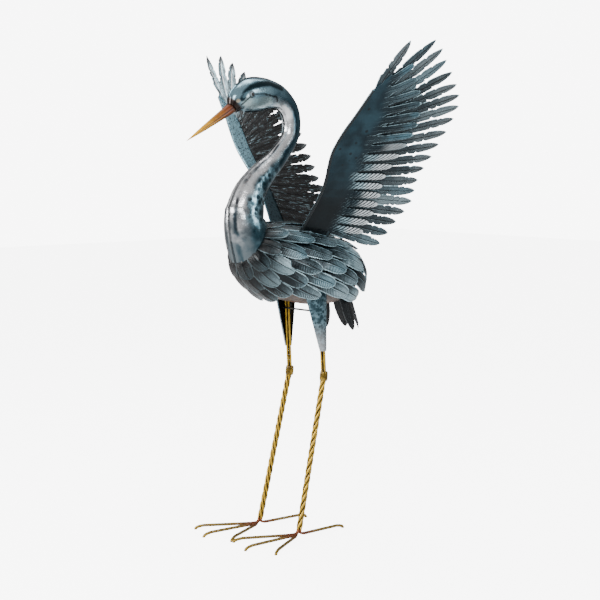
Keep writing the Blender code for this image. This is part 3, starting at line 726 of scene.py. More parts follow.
class Graph:
    """Adds nodes to a tree and links them."""

    def __init__(self, tree):
        self.tree = tree
        self.column = 0

    def open(self, inputs, outputs):
        """Give a group its sockets, each with its kind or with the number that it starts from."""
        for way, sockets in (("INPUT", inputs), ("OUTPUT", outputs)):
            for key, value in sockets.items():
                kind = value if isinstance(value, str) else type(value).__name__.title()
                socket = self.tree.interface.new_socket(
                    label(key), in_out=way, socket_type=f"NodeSocket{kind}"
                )
                if kind != value:
                    socket.default_value = value
        self.inputs = self.add("NodeGroupInput").outputs

    def take(self, key):
        """Value of one of the group's inputs."""
        return Value(self, self.inputs[label(key)])

    def put(self, socket, value):
        """Link a socket to a value, or set its number or colour."""
        if isinstance(value, Value):
            self.tree.links.new(value.socket, socket)
        else:
            socket.default_value = (*value, 1.0) if socket.type == "RGBA" else value

    def add(self, kind, inputs=(), **settings):
        """A node with its settings and inputs."""
        node = self.tree.nodes.new(kind)
        node.location = (self.column * 190, -(self.column % 5) * 170)
        self.column += 1
        for key, value in settings.items():
            setattr(node, key, value)
        for key, value in inputs.items() if isinstance(inputs, dict) else enumerate(inputs):
            self.put(node.inputs[key], value)
        return node

    def out(self, kind, inputs=(), output=0, **settings):
        """An output of a new node."""
        return Value(self, self.add(kind, inputs, **settings).outputs[output])

    def math(self, operation, *values):
        """Result of a math node."""
        return self.out("ShaderNodeMath", values, operation=operation)

    def mix(self, share, first, second, blend="MIX"):
        """Mixed colour."""
        inputs = {0: share, 6: first, 7: second}
        return self.out("ShaderNodeMix", inputs, 2, data_type="RGBA", blend_type=blend)

    def coats(self, base, *coats):
        """A colour under coats of paint, each with the share that covers and its colour."""
        for share, paint in coats:
            base = self.mix(share, base, paint)
        return base

    def shade(self, base, light):
        """A colour that is darker where light is less than 1."""
        return self.mix(1.0, base, self.out("ShaderNodeCombineColor", (light,) * 3), "MULTIPLY")

    def part(self, vector, axis):
        """One of a vector's three numbers."""
        return self.out("ShaderNodeSeparateXYZ", (vector,), axis)

    def noise(self, vector, scale, detail=3.0):
        """Noise between 0 and 1."""
        return self.out("ShaderNodeTexNoise", {"Vector": vector, "Scale": scale, "Detail": detail})

    def cells(self, vector, scale):
        """Distance to the nearest of many scattered spots, in cells."""
        return self.out("ShaderNodeTexVoronoi", {"Vector": vector, "Scale": scale})


class ShaderGraph(Graph):
    """A graph in a material or a shader group."""

    def attribute(self, name):
        """A mark of the piece's points."""
        return self.out("ShaderNodeAttribute", (), "Fac", attribute_name=name)

    def place(self):
        """The piece's own coordinates."""
        return self.out("ShaderNodeTexCoord", (), "Object")

    def outer(self):
        """1 on faces that look away from the statue's middle plane and 0 on the others."""
        normal = self.out("ShaderNodeNewGeometry", (), "True Normal")
        return self.math("GREATER_THAN", self.part(self.place(), "X") * self.part(normal, "X"), 0.0)


class MeshGraph(Graph):
    """A graph in a geometry tree that changes a mesh and gives it its material."""

    def __init__(self, name, **numbers):
        super().__init__(bpy.data.node_groups.new(name, "GeometryNodeTree"))
        mesh = {"geometry": "Geometry"}
        self.open({**mesh, **numbers, "material": "Material"}, mesh)

    def attribute(self, name, kind="FLOAT"):
        """A mark of the mesh's points."""
        node = "GeometryNodeInputNamedAttribute"
        return self.out(node, {"Name": name}, "Attribute", data_type=kind)

    def store(self, name, geometry, value):
        """Geometry with a new mark."""
        inputs = {"Geometry": geometry, "Name": name, "Value": value}
        return self.out("GeometryNodeStoreNamedAttribute", inputs, data_type="FLOAT")

    def position(self):
        """Place of each point."""
        return self.out("GeometryNodeInputPosition")

    def seeded(self):
        """Place of each point, moved by the seed."""
        inputs = (self.position(), self.take("seed"))
        return self.out("ShaderNodeVectorMath", inputs, operation="ADD")

    def raised(self, height):
        """The mesh with its points moved along their normals."""
        inputs = {0: self.out("GeometryNodeInputNormal"), "Scale": height}
        offset = self.out("ShaderNodeVectorMath", inputs, operation="SCALE")
        inputs = {"Geometry": self.take("geometry"), "Offset": offset}
        return self.out("GeometryNodeSetPosition", inputs)

    def finish(self, geometry):
        """Realize the instances, set the material and end the tree."""
        inputs = {
            "Geometry": self.out("GeometryNodeRealizeInstances", (geometry,)),
            "Material": self.take("material"),
        }
        self.add("NodeGroupOutput", (self.out("GeometryNodeSetMaterial", inputs),))
        return self.tree


def feather_press():
    """Tree that presses shafts, barbs, rims and dents into flat feathers."""
    graph = MeshGraph(
        "Feather press", shaft=0.001, barb_depth=0.0003, barb_count=12.0, slant=3.0,
        rim=0.0007, dent=0.001, free_from=0.0, seed=0.0,
    )
    take = graph.take
    side, run = abs(graph.attribute("side")), graph.attribute("run")
    shaft = side.fall(0.0, 0.16) * take("shaft") * run.fall(0.85, 1.0)
    slanted = run * take("barb_count") - side * take("slant")
    barbs = slanted.wave() * side.step(0.1, 0.3) * take("barb_depth")
    rim = side.step(0.72, 1.0) * take("rim")
    free = run.step(take("free_from") - 0.04, take("free_from"))
    dents = graph.noise(graph.seeded(), 38.0, 1.5) - 0.5
    height = dents * take("dent") + (shaft + (barbs + rim)) * free
    return graph.finish(graph.raised(height))


def hammer():
    """Tree that hammers round dimples where a mesh's hammer mark asks for them."""
    graph = MeshGraph("Hammer", size=0.013, depth=0.0009, dent=0.0, seed=0.0)
    take = graph.take
    near = graph.cells(graph.seeded(), 1.0 / take("size"))
    dimples = near.fall(0.0, 0.55) * take("depth") * graph.attribute("hammer")
    dents = graph.noise(graph.seeded(), 22.0, 1.0) - 0.5
    return graph.finish(graph.raised(dents * take("dent") - dimples))


def rod_bender():
    """Tree that runs round rods along the edges of a path, with ribs where it asks for them."""
    graph = MeshGraph(
        "Rods", radius=0.0025, rib_pitch=0.0042, rib_depth=0.1, toe_share=1.0, step=0.0012, sides=14
    )
    take = graph.take
    line = graph.out("GeometryNodeMeshToCurve", (take("geometry"),))
    inputs = {"Curve": line, "Length": take("step")}
    line = graph.out("GeometryNodeResampleCurve", inputs, mode="LENGTH")
    walked = graph.out("GeometryNodeSplineParameter", (), "Length")
    ribbed = graph.attribute("ribbed")
    ribs = (walked / take("rib_pitch")).wave() * ribbed
    thick = ribbed * (take("toe_share") - 1.0) + 1.0 - ribs * take("rib_depth")
    line = graph.store("groove", line, ribs)
    inputs = {"Resolution": take("sides"), "Radius": take("radius")}
    section = graph.out("GeometryNodeCurvePrimitiveCircle", inputs)
    inputs = {"Curve": line, "Profile Curve": section, "Scale": thick, "Fill Caps": True}
    rods = graph.out("GeometryNodeCurveToMesh", inputs)
    ends = (graph.position(), graph.attribute("core", "FLOAT_VECTOR"))
    reach = graph.out("ShaderNodeVectorMath", ends, "Value", operation="DISTANCE")
    return graph.finish(graph.store("reach", rods, reach))


def feather_paint():
    """Shader group of a painted, brushed feather: its colour, roughness and relief, with a painted highlight
    along the shaft and painted shade in the groove beside it and just inside the rim.
    """
    graph = ShaderGraph(bpy.data.node_groups.new("Feather paint", "ShaderNodeTree"))
    numbers = ("barb_count", "slant", "diagonal", "strokes", "rim", "shine", "vary")
    graph.open(
        {**dict.fromkeys(FEATHER_COLOURS, "Color"), **dict.fromkeys(numbers, "Float")},
        {"color": "Color", "roughness": "Float", "height": "Float"},
    )
    take = graph.take
    place = graph.place()
    signed, run, tone = map(graph.attribute, ("side", "run", "tone"))
    side = abs(signed)
    patches = graph.noise(place, 34.0, 4.0)
    fade = (tone - 0.5) * 0.55 + ((patches - 0.5) * 0.75 + run)
    tip = graph.coats(
        take("tip"),
        (graph.math("FRACT", tone * 7.3).step(0.66, 0.76), take("blush")),
        (tone.step(0.55, 0.90) * take("vary"), take("silver")),
    )
    ahead = run * take("barb_count")
    lean = (take("diagonal") * (signed + side) - side) * take("slant")
    barbs = (ahead + lean).wave() * ((side * 5.0 + ahead).wave() * 0.4 + 0.6)
    barbs = barbs * side.step(0.08, 0.20).most(take("diagonal"))
    strokes = barbs.step(0.30, 0.75) * take("strokes")
    # Painted shade: a dark groove beside the shaft, and a dark band just inside the rim.
    groove = signed.step(-0.15, -0.10) * signed.fall(-0.04, 0.0)
    edge_shade = side.step(0.58, 0.80) * side.fall(0.80, 0.87)
    worn = graph.noise(place, 110.0, 2.0).step(0.30, 0.55)
    edge = side.step(0.85, 0.94).most(run.step(0.965, 0.985)) * worn * take("rim")
    # Painted highlight: a bright line along the shaft, as on a pressed ridge lit from one side.
    shaft = signed.step(-0.01, 0.02) * signed.fall(0.05, 0.09) * run.step(0.1, 0.5)
    shaft_highlight = shaft * (take("shine") * tone.step(0.1, 0.9, 0.35, 1.0))
    base = graph.coats(
        take("root"),
        (fade.step(0.46, 0.96), tip),
        (strokes * fade.step(0.15, 0.95), take("silver")),
        # painted shade in the groove and just inside the rim
        ((groove * 0.85).most(edge_shade * 0.5), take("dark")),
        # worn silver rims, and the painted highlight along the shaft
        (edge.most(shaft_highlight), take("silver")),
    )
    speck = graph.noise(place, 420.0, 2.0).step(0.48, 0.75, 1.0, 0.55)
    outputs = (graph.shade(base, speck), patches * 0.24 + 0.16, barbs + shaft * 1.5)
    graph.add("NodeGroupOutput", outputs)
    return graph.tree


def hammered_paint():
    """Shader group of hammered paint: light patches left between dark dimples."""
    graph = ShaderGraph(bpy.data.node_groups.new("Hammered paint", "ShaderNodeTree"))
    graph.open({"dark": "Color", "light": "Color", "size": "Float", "share": "Float"}, {"color": "Color"})
    take = graph.take
    place = graph.place()
    spots = graph.cells(place, 1.0 / take("size")).step(0.25, 0.6)
    blots = graph.noise(place, 0.45 / take("size"), 3.0).step(0.38, 0.62)
    bright = spots * blots * take("share")
    graph.add("NodeGroupOutput", (graph.mix(bright, take("dark"), take("light")),))
    return graph.tree


TREES = {
    "Feather press": feather_press,
    "Hammer": hammer,
    "Rods": rod_bender,
    "Feather paint": feather_paint,
    "Hammered paint": hammered_paint,
}


def tree_named(name):
    """A node tree, built the first time that it is asked for."""
    return bpy.data.node_groups.get(name) or TREES[name]()


# Paint


class Paint:
    """A material under construction: its graph and its shader."""

    def __init__(self, name, metallic, roughness, coat):
        self.name, self.material = name, bpy.data.materials.new(name)
        self.material.use_nodes = True
        tree = self.material.node_tree
        self.graph, self.shader = ShaderGraph(tree), tree.nodes["Principled BSDF"]
        self.place = self.graph.place()
        self.set("Metallic", metallic)
        self.set("Roughness", roughness)
        self.set("Coat Weight", coat)
        self.set("Coat Roughness", COAT_ROUGHNESS)

    def set(self, socket, value):
        """Set or link one input of the shader."""
        self.graph.put(self.shader.inputs[socket], value)

    def bump(self, height, strength, distance):
        """Relief that is too fine for the mesh."""
        inputs = {"Strength": strength, "Distance": distance, "Height": height}
        self.set("Normal", self.graph.out("ShaderNodeBump", inputs))

    def group(self, name, **inputs):
        """Outputs of a shader group with its values."""
        inputs = {label(key): value for key, value in inputs.items()}
        node = self.graph.add("ShaderNodeGroup", node_tree=tree_named(name))
        for key, value in inputs.items():
            self.graph.put(node.inputs[key], value)
        return {socket.name: Value(self.graph, socket) for socket in node.outputs}

    def feather(self, look, colours, **numbers):
        """The feather paint with five of the plumage's colours, from its root to the painted shade of its
        grooves.
        """
        chosen = {kind: getattr(look, name) for kind, name in zip(FEATHER_COLOURS, colours.split())}
        return self.group("Feather paint", **chosen, **numbers)

    def brush(self, made, base):
        """Use a colour with the gloss and relief of a feather paint."""
        self.set("Base Color", base)
        self.set("Roughness", made["Roughness"])
        self.bump(made["Height"], *FEATHER_BUMP)
        return self


def plain_feather_paint(name, look, colours, breast=0.0, **numbers):
    """A material of feather paint, with painted shade darkening a share of it toward the breast."""
    paint = Paint(name, 0.6, 0.36, 0.25)
    made = paint.feather(look, colours, **numbers)
    # Painted shade: the feathers grow darker toward the breast, down to 1 - breast of their colour.
    light = paint.graph.part(paint.place, "Y").step(-0.13, 0.03, 1 - breast, 1.0)
    return paint.brush(made, paint.graph.shade(made["Color"], light))


# Pieces


def new_object(name, mesh):
    """An object for a mesh, linked to the scene."""
    piece = bpy.data.objects.new(name, mesh)
    bpy.context.scene.collection.objects.link(piece)
    return piece


def run_tree(piece, tree, material, **inputs):
    """Give a piece a node tree with its inputs set by their sockets' identifiers."""
    nodes = piece.modifiers.new(tree.name, "NODES")
    nodes.node_group = tree
    values = {label(key): value for key, value in inputs.items()}
    values["Material"] = material
    for item in tree.interface.items_tree:
        if item.item_type == "SOCKET" and item.in_out == "INPUT" and item.name in values:
            nodes[item.identifier] = values.pop(item.name)
    if values:
        raise KeyError(f"{tree.name} has no input named {sorted(values)}")


def finish_piece(piece, slot, *nodes):
    """Turn a piece into a plain mesh, hang it on the root body, and hide the model's parts that it replaces.
    """
    if piece.modifiers:
        bpy.context.view_layer.update()
        graph = bpy.context.evaluated_depsgraph_get()
        mesh = bpy.data.meshes.new_from_object(piece.evaluated_get(graph))
        mesh.name = piece.name
        piece.modifiers.clear()
        piece.data = mesh
        mesh.shade_smooth()
        mesh.set_sharp_from_angle(angle=CREASE)
    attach(piece, "root")
    if nodes:
        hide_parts(*nodes)


def plain_piece(name, mesh, paint, slot, *nodes):
    """A piece whose mesh is finished, apart from its material."""
    mesh.materials.append(paint.material)
    finish_piece(new_object(name, mesh), slot, *nodes)


def worked_piece(name, mesh, tree, paint, *nodes, sheet=0.0, **inputs):
    """A piece whose mesh goes through a tree, and is then as thick as its sheet."""
    piece = new_object(name, mesh)
    run_tree(piece, tree_named(tree), paint.material, **inputs)
    if sheet:
        solid = piece.modifiers.new("sheet", "SOLIDIFY")
        solid.thickness = sheet
        solid.offset = 1.0
    finish_piece(piece, paint.name, *nodes)


def pressed_piece(name, mesh, look, paint, *nodes, **inputs):
    """A piece of pressed sheet, with the plumage's own sizes where none are given."""
    sizes = {key: getattr(look, key) for key in ("shaft", "barb_depth", "rim", "dent")}
    inputs = {**sizes, **inputs}
    worked_piece(f"{name}_pressed", mesh, "Feather press", paint, *nodes, sheet=look.sheet, **inputs)


class CRANE_OT_body(bpy.types.Operator):
    """Build the shell of the body, which shows on the belly"""

    bl_idname = "crane.body"
    bl_label = "Body shell"

    def execute(self, context):
        look = context.scene.crane_body
        paint = Paint("belly_paint", 0.4, 0.45, 0.1)
        graph, place = paint.graph, paint.place
        rust = graph.noise(place, 26.0, 5.0).step(0.50, 0.66)
        soot = graph.noise(place, 90.0, 4.0).step(0.3, 0.6, 0.55, 1.0)
        base = graph.shade(graph.mix(rust, look.belly, look.rust), soot)
        covered = graph.part(place, "Z").step(*BELLY_EDGE)
        paint.set("Base Color", graph.mix(covered, base, look.shade))
        paint.bump(graph.noise(place, 220.0), 0.25, 0.0006)
        rings = []
        for row in range(1, BODY_RINGS):
            back = math.pi * row / BODY_RINGS
            turns = (math.tau * turn / BODY_TURNS for turn in range(BODY_TURNS))
            rings.append([body_place(back, turn)[0] for turn in turns])
        mesh = loft("body_shell", rings, {"hammer": 0.0})
        worked_piece("body_shell_skin", mesh, "Hammer", paint, "body_shell", dent=0.0012)
        return {"FINISHED"}


class CRANE_OT_body_feathers(bpy.types.Operator):
    """Build the rows of pressed feathers round the body"""

    bl_idname = "crane.body_feathers"
    bl_label = "Body feathers"

    def lay_row(self, look, paint, name, nodes, root, size, lift, reach, order):
        """One row, whose feathers run back along the body from a distance behind the breast."""
        around = math.radians(reach)
        girth = math.sin(flank_angle(root + size / 2)) * BODY_HALF_WIDTH
        count = max(3, round(2 * around * girth / look.width))
        pitch = 2 * around / count
        start, rise = -around + pitch / 2, FEATHER_RISE + REAR_RISE * order

        def place(feather, share):
            """Point and normal of the row's surface."""
            run = share * size
            return body_place(flank_angle(root + run), start + pitch * feather, lift + rise * run)

        row = Row(
            place, count, body_outline, look.width * FEATHER_OVERLAP,
            crown=look.crown, shingle=look.shingle, wander=look.wander,
        )
        mesh = feather_mesh(name, row, look.seed + order)
        pressed_piece(name, mesh, look, paint, *nodes, barb_count=15.0, seed=float(order))

    def execute(self, context):
        look = context.scene.crane_plumage
        # breast sets how deep the painted shade on the feathers toward the breast is.
        paint = plain_feather_paint(
            "plumage_paint", look, "root tip blush silver dark", breast=0.9,
            barb_count=21.0, slant=4.0, strokes=0.8, rim=0.9, shine=0.9, vary=0.8,
        )
        hem = hem_distance()
        self.lay_row(
            look, paint, "neck_base_feathers", ("neck_base_feathers",), hem - NECK_BASE_TUCK,
            NECK_BASE_LENGTH + NECK_BASE_TUCK, NECK_BASE_LIFT - 0.001, ROW_REACH[0], 0,
        )
        for row, reach in enumerate(ROW_REACH):
            nodes = [f"feather_row_{row + 1}"]
            if row < PARTED_ROWS:
                nodes = [f"{part}_feathers_{row + 1}" for part in ("back", "left_flank", "right_flank")]
            root = hem + ROW_LEAD + row * ROW_STEP
            name = f"body_feathers_{row + 1}"
            self.lay_row(look, paint, name, nodes, root, FEATHER_LENGTH, ROOT_LIFT, reach, row)
        return {"FINISHED"}


class CRANE_OT_tail(bpy.types.Operator):
    """Build the pointed tail feathers"""

    bl_idname = "crane.tail"
    bl_label = "Tail"

    def execute(self, context):
        look = context.scene.crane_plumage
        paint = plain_feather_paint(
            "tail_paint", look, "dark soot soot smoke dark",
            barb_count=34.0, slant=6.0, strokes=0.3, rim=0.9, shine=0.6, vary=0.2,
        )
        row = Row(tail_place, TAIL_COUNT, tail_outline, look.tail_width, crown=look.crown, across=8)
        mesh = feather_mesh("tail", row, look.seed)
        pressed_piece("tail_feathers", mesh, look, paint, "tail_feathers", barb_count=16.0)
        return {"FINISHED"}


class CRANE_OT_wings(bpy.types.Operator):
    """Build both wings: the panel with its rolled edge, and the long feathers"""

    bl_idname = "crane.wings"
    bl_label = "Wings"

    def panel_paint(self, look):
        """Slate panel with dark hammer marks, whose short feathers end in silver."""
        paint = Paint("wing_panel_paint", 0.7, 0.34, 0.06)
        graph, place = paint.graph, paint.place
        signed, run, order = map(graph.attribute, ("side", "run", "order"))
        cloud, grain = graph.noise(place, 14.0, 6.0), graph.noise(place, 240.0)
        slate = graph.coats(
            look.slate,
            (cloud.step(0.36, 0.62), look.root),
            (graph.noise(place, 7.0, 5.0).step(0.46, 0.70, 0.0, 0.45), look.tip),
            (order.step(0.42, 0.90, 0.0, 0.95), look.dark),
            (graph.cells(place, 52.0).fall(0.13, 0.24) * 0.85, look.dark),
        )
        fringe = paint.feather(
            look, "root silver silver silver dark",
            barb_count=24.0, slant=0.8, diagonal=1.0, strokes=0.3, rim=0.7, shine=0.5, vary=0.3,
        )
        upper = paint.feather(
            look, "root tip slate silver dark",
            barb_count=40.0, slant=4.0, strokes=0.3, rim=0.6, shine=0.8, vary=0.1,
        )
        lower = order.step(0.38, 0.52)
        slashes = (run * 15.0 + signed).wave().step(0.45, 0.75) * run.fall(0.93, 0.97)
        feathers = graph.coats(
            upper["Color"],
            (lower, fringe["Color"]),
            (run.step(0.62, 0.80) * lower * 0.8, FRINGE_WHITE),
            (slashes * lower, look.root),
            (abs(signed).step(0.84, 0.97) * (lower * 0.8), look.dark),
        )
        free = (cloud * 0.16 + run).step(0.42, 0.64)
        rolled = graph.mix((order * 90.0).wave() * 0.35, look.dark, look.smoke)
        outer = graph.coats(slate, (free, feathers), (run.fall(0.0, 0.012), rolled))
        inner = graph.coats(
            look.sky,
            (grain.step(0.44, 0.70), look.slate),
            ((cloud * 0.5 + order).step(0.72, 0.95) * 0.85, look.root),
            (run.step(0.30, 0.50), look.soot),
        )
        paint.set("Base Color", graph.mix(graph.outer(), inner, outer))
        paint.set("Roughness", cloud * 0.2 + 0.24)
        paint.bump(fringe["Height"] * free + grain * 0.4, *FEATHER_BUMP)
        return paint

    def long_paint(self, look):
        """Dark feathers with a painted highlight along the shaft outside, and a rough, scratched inside,
        where the first feathers carry a painted reflection.
        """
        paint = Paint("long_feather_paint", 0.55, 0.36, 0.2)
        graph = paint.graph
        signed, run, order = map(graph.attribute, ("side", "run", "order"))
        made = paint.feather(
            look, "root smoke slate silver dark",
            barb_count=44.0, slant=7.0, strokes=0.3, rim=0.85, shine=1.0, vary=0.15,
        )
        drawn = graph.out("ShaderNodeCombineXYZ", (run * 6.0, order * 90.0, signed * 5.0))
        streaks = graph.noise(drawn, 1.3)
        # Painted reflection: the inside of the first feathers is lighter, with streaks and a light line along
        # the shaft, where it catches the light.
        first = graph.coats(
            look.smoke,
            (streaks.step(0.40, 0.60), look.silver),
            (abs(signed).fall(0.05, 0.12), SHAFT_REFLECTION),
        )
        inner = graph.coats(
            look.soot,
            (streaks.step(0.60, 0.68) * 0.65, look.silver),
            # the first feathers carry the painted reflection
            (order.fall(0.12, 0.20), first),
            (run.step(0.80, 0.95), look.smoke),
        )
        return paint.brush(made, graph.mix(graph.outer(), inner, made["Color"]))

    def panel_mesh(self, look, side):
        """The panel's sheet: joined strips that part into short feathers, and its rolled edge."""
        row = Row(
            short_place, SHORT_COUNT, short_outline, look.short_width, side=side,
            crown=look.crown * 0.7, along=PANEL_STEPS,
        )
        mesh = feather_mesh("wing_panel", row, look.seed, SHEET_WELD)
        shape = bmesh.new()
        shape.from_mesh(mesh)
        layers = shape.verts.layers.float
        last = SHORT_COUNT - 1

        def corner(feather, share, curl=None):
            """A point of the sheet, or of the roll in front of it."""
            point, normal = short_place(feather, share)
            if curl is not None:
                ahead = (point - short_place(feather, 0.1)[0]).normalized()
                point += (normal * (1 - math.cos(curl)) + ahead * math.sin(curl)) * ROLL_RADIUS
            made = shape.verts.new((side * point.x, point.y, point.z))
            marks = {"side": 1.0, "run": share, "tone": 0.5, "order": feather / last}
            for key, value in marks.items():
                made[layers[key]] = value
            return made

        def fill(grid, flip):
            """Faces between rows of corners."""
            for upper, lower in zip(grid, grid[1:]):
                for a, b, c, d in zip(upper, upper[1:], lower[1:], lower):
                    shape.faces.new((a, b, c, d) if flip else (d, c, b, a))

        apron = [last + 0.5 + PANEL_APRON * part / 6 for part in range(7)]
        joined = [share for share in run_shares(PANEL_STEPS) if share <= JOINED]
        fill([[corner(feather, share) for feather in apron] for share in joined], side < 0)
        steps = [-0.5 + part / 12 for part in range(12 * SHORT_COUNT + 1)] + apron[1:]
        curls = [ROLL_TURN * turn / ROLL_STEPS for turn in range(ROLL_STEPS + 1)]
        fill([[corner(feather, 0.0, curl) for feather in steps] for curl in curls], side > 0)
        bmesh.ops.remove_doubles(shape, verts=shape.verts, dist=SHEET_WELD)
        shape.to_mesh(mesh)
        shape.free()
        return mesh

    def execute(self, context):
        look = context.scene.crane_plumage
        panel, plume = self.panel_paint(look), self.long_paint(look)
        for name, side in SIDES:
            node = f"{name}_wing_panel"
            pressed_piece(
                node, self.panel_mesh(look, side), look, panel, node, barb_count=22.0, free_from=0.52,
                shaft=look.shaft * 0.6, barb_depth=look.barb_depth * 1.6, rim=0.0, dent=look.dent * 0.8,
            )
            row = Row(
                long_place, LONG_COUNT, long_outline, look.long_width, side=side, along=LONG_STEPS,
                crown=look.crown * 0.9, shingle=look.shingle * 0.4, wander=look.wander * 0.5,
                sink=1.0, joined=JOINED, notches=2,
            )
            mesh = feather_mesh("long_feathers", row, look.seed + 3, SHEET_WELD)
            node = f"{name}_wing_long_feathers"
            pressed_piece(
                node, mesh, look, plume, node, barb_count=26.0, seed=2.0,
                shaft=look.shaft * 1.2, barb_depth=look.barb_depth * 1.4, rim=look.rim * 0.7,
            )
        return {"FINISHED"}


def away_from(point, line):
    """Distance of a point from a line through some places."""
    distances = []
    for first, second in zip(map(Vector, line), map(Vector, line[1:])):
        along = second - first
        share = min(max((point - first).dot(along) / along.length_squared, 0.0), 1.0)
        distances.append((point - first - along * share).length)
    return min(distances)


def ring_section(radius, half_width):
    """A fixed number of points round the neck, with the seam flange back and front."""
    half, rim = SEAM_WIDTH / 2, radius + SEAM_FLANGE
    low = math.asin(min(half / half_width, 1.0))
    points = [(half * 0.6, rim), (half, rim - 0.0007)]
    for part in range(NECK_SECTIONS // 2 + 1):
        turn = low + (math.pi - 2 * low) * part / (NECK_SECTIONS // 2)
        points.append((half_width * math.sin(turn), radius * math.cos(turn)))
    points += [(half, -rim + 0.0007), (half * 0.6, -rim)]
    return points + [(-x, y) for x, y in reversed(points)]


def seat_ring(back, lift, flange):
    """Ring of the neck's section on the body, at an angle back from the breast."""
    ring = []
    girth = math.sin(back) * BODY_HALF_WIDTH
    for across, out in ring_section(girth, girth):
        over = max(math.hypot(across, out) - girth, 0.0) / SEAM_FLANGE
        ring.append(body_place(back, math.atan2(across, out), lift + flange * over)[0])
    return ring


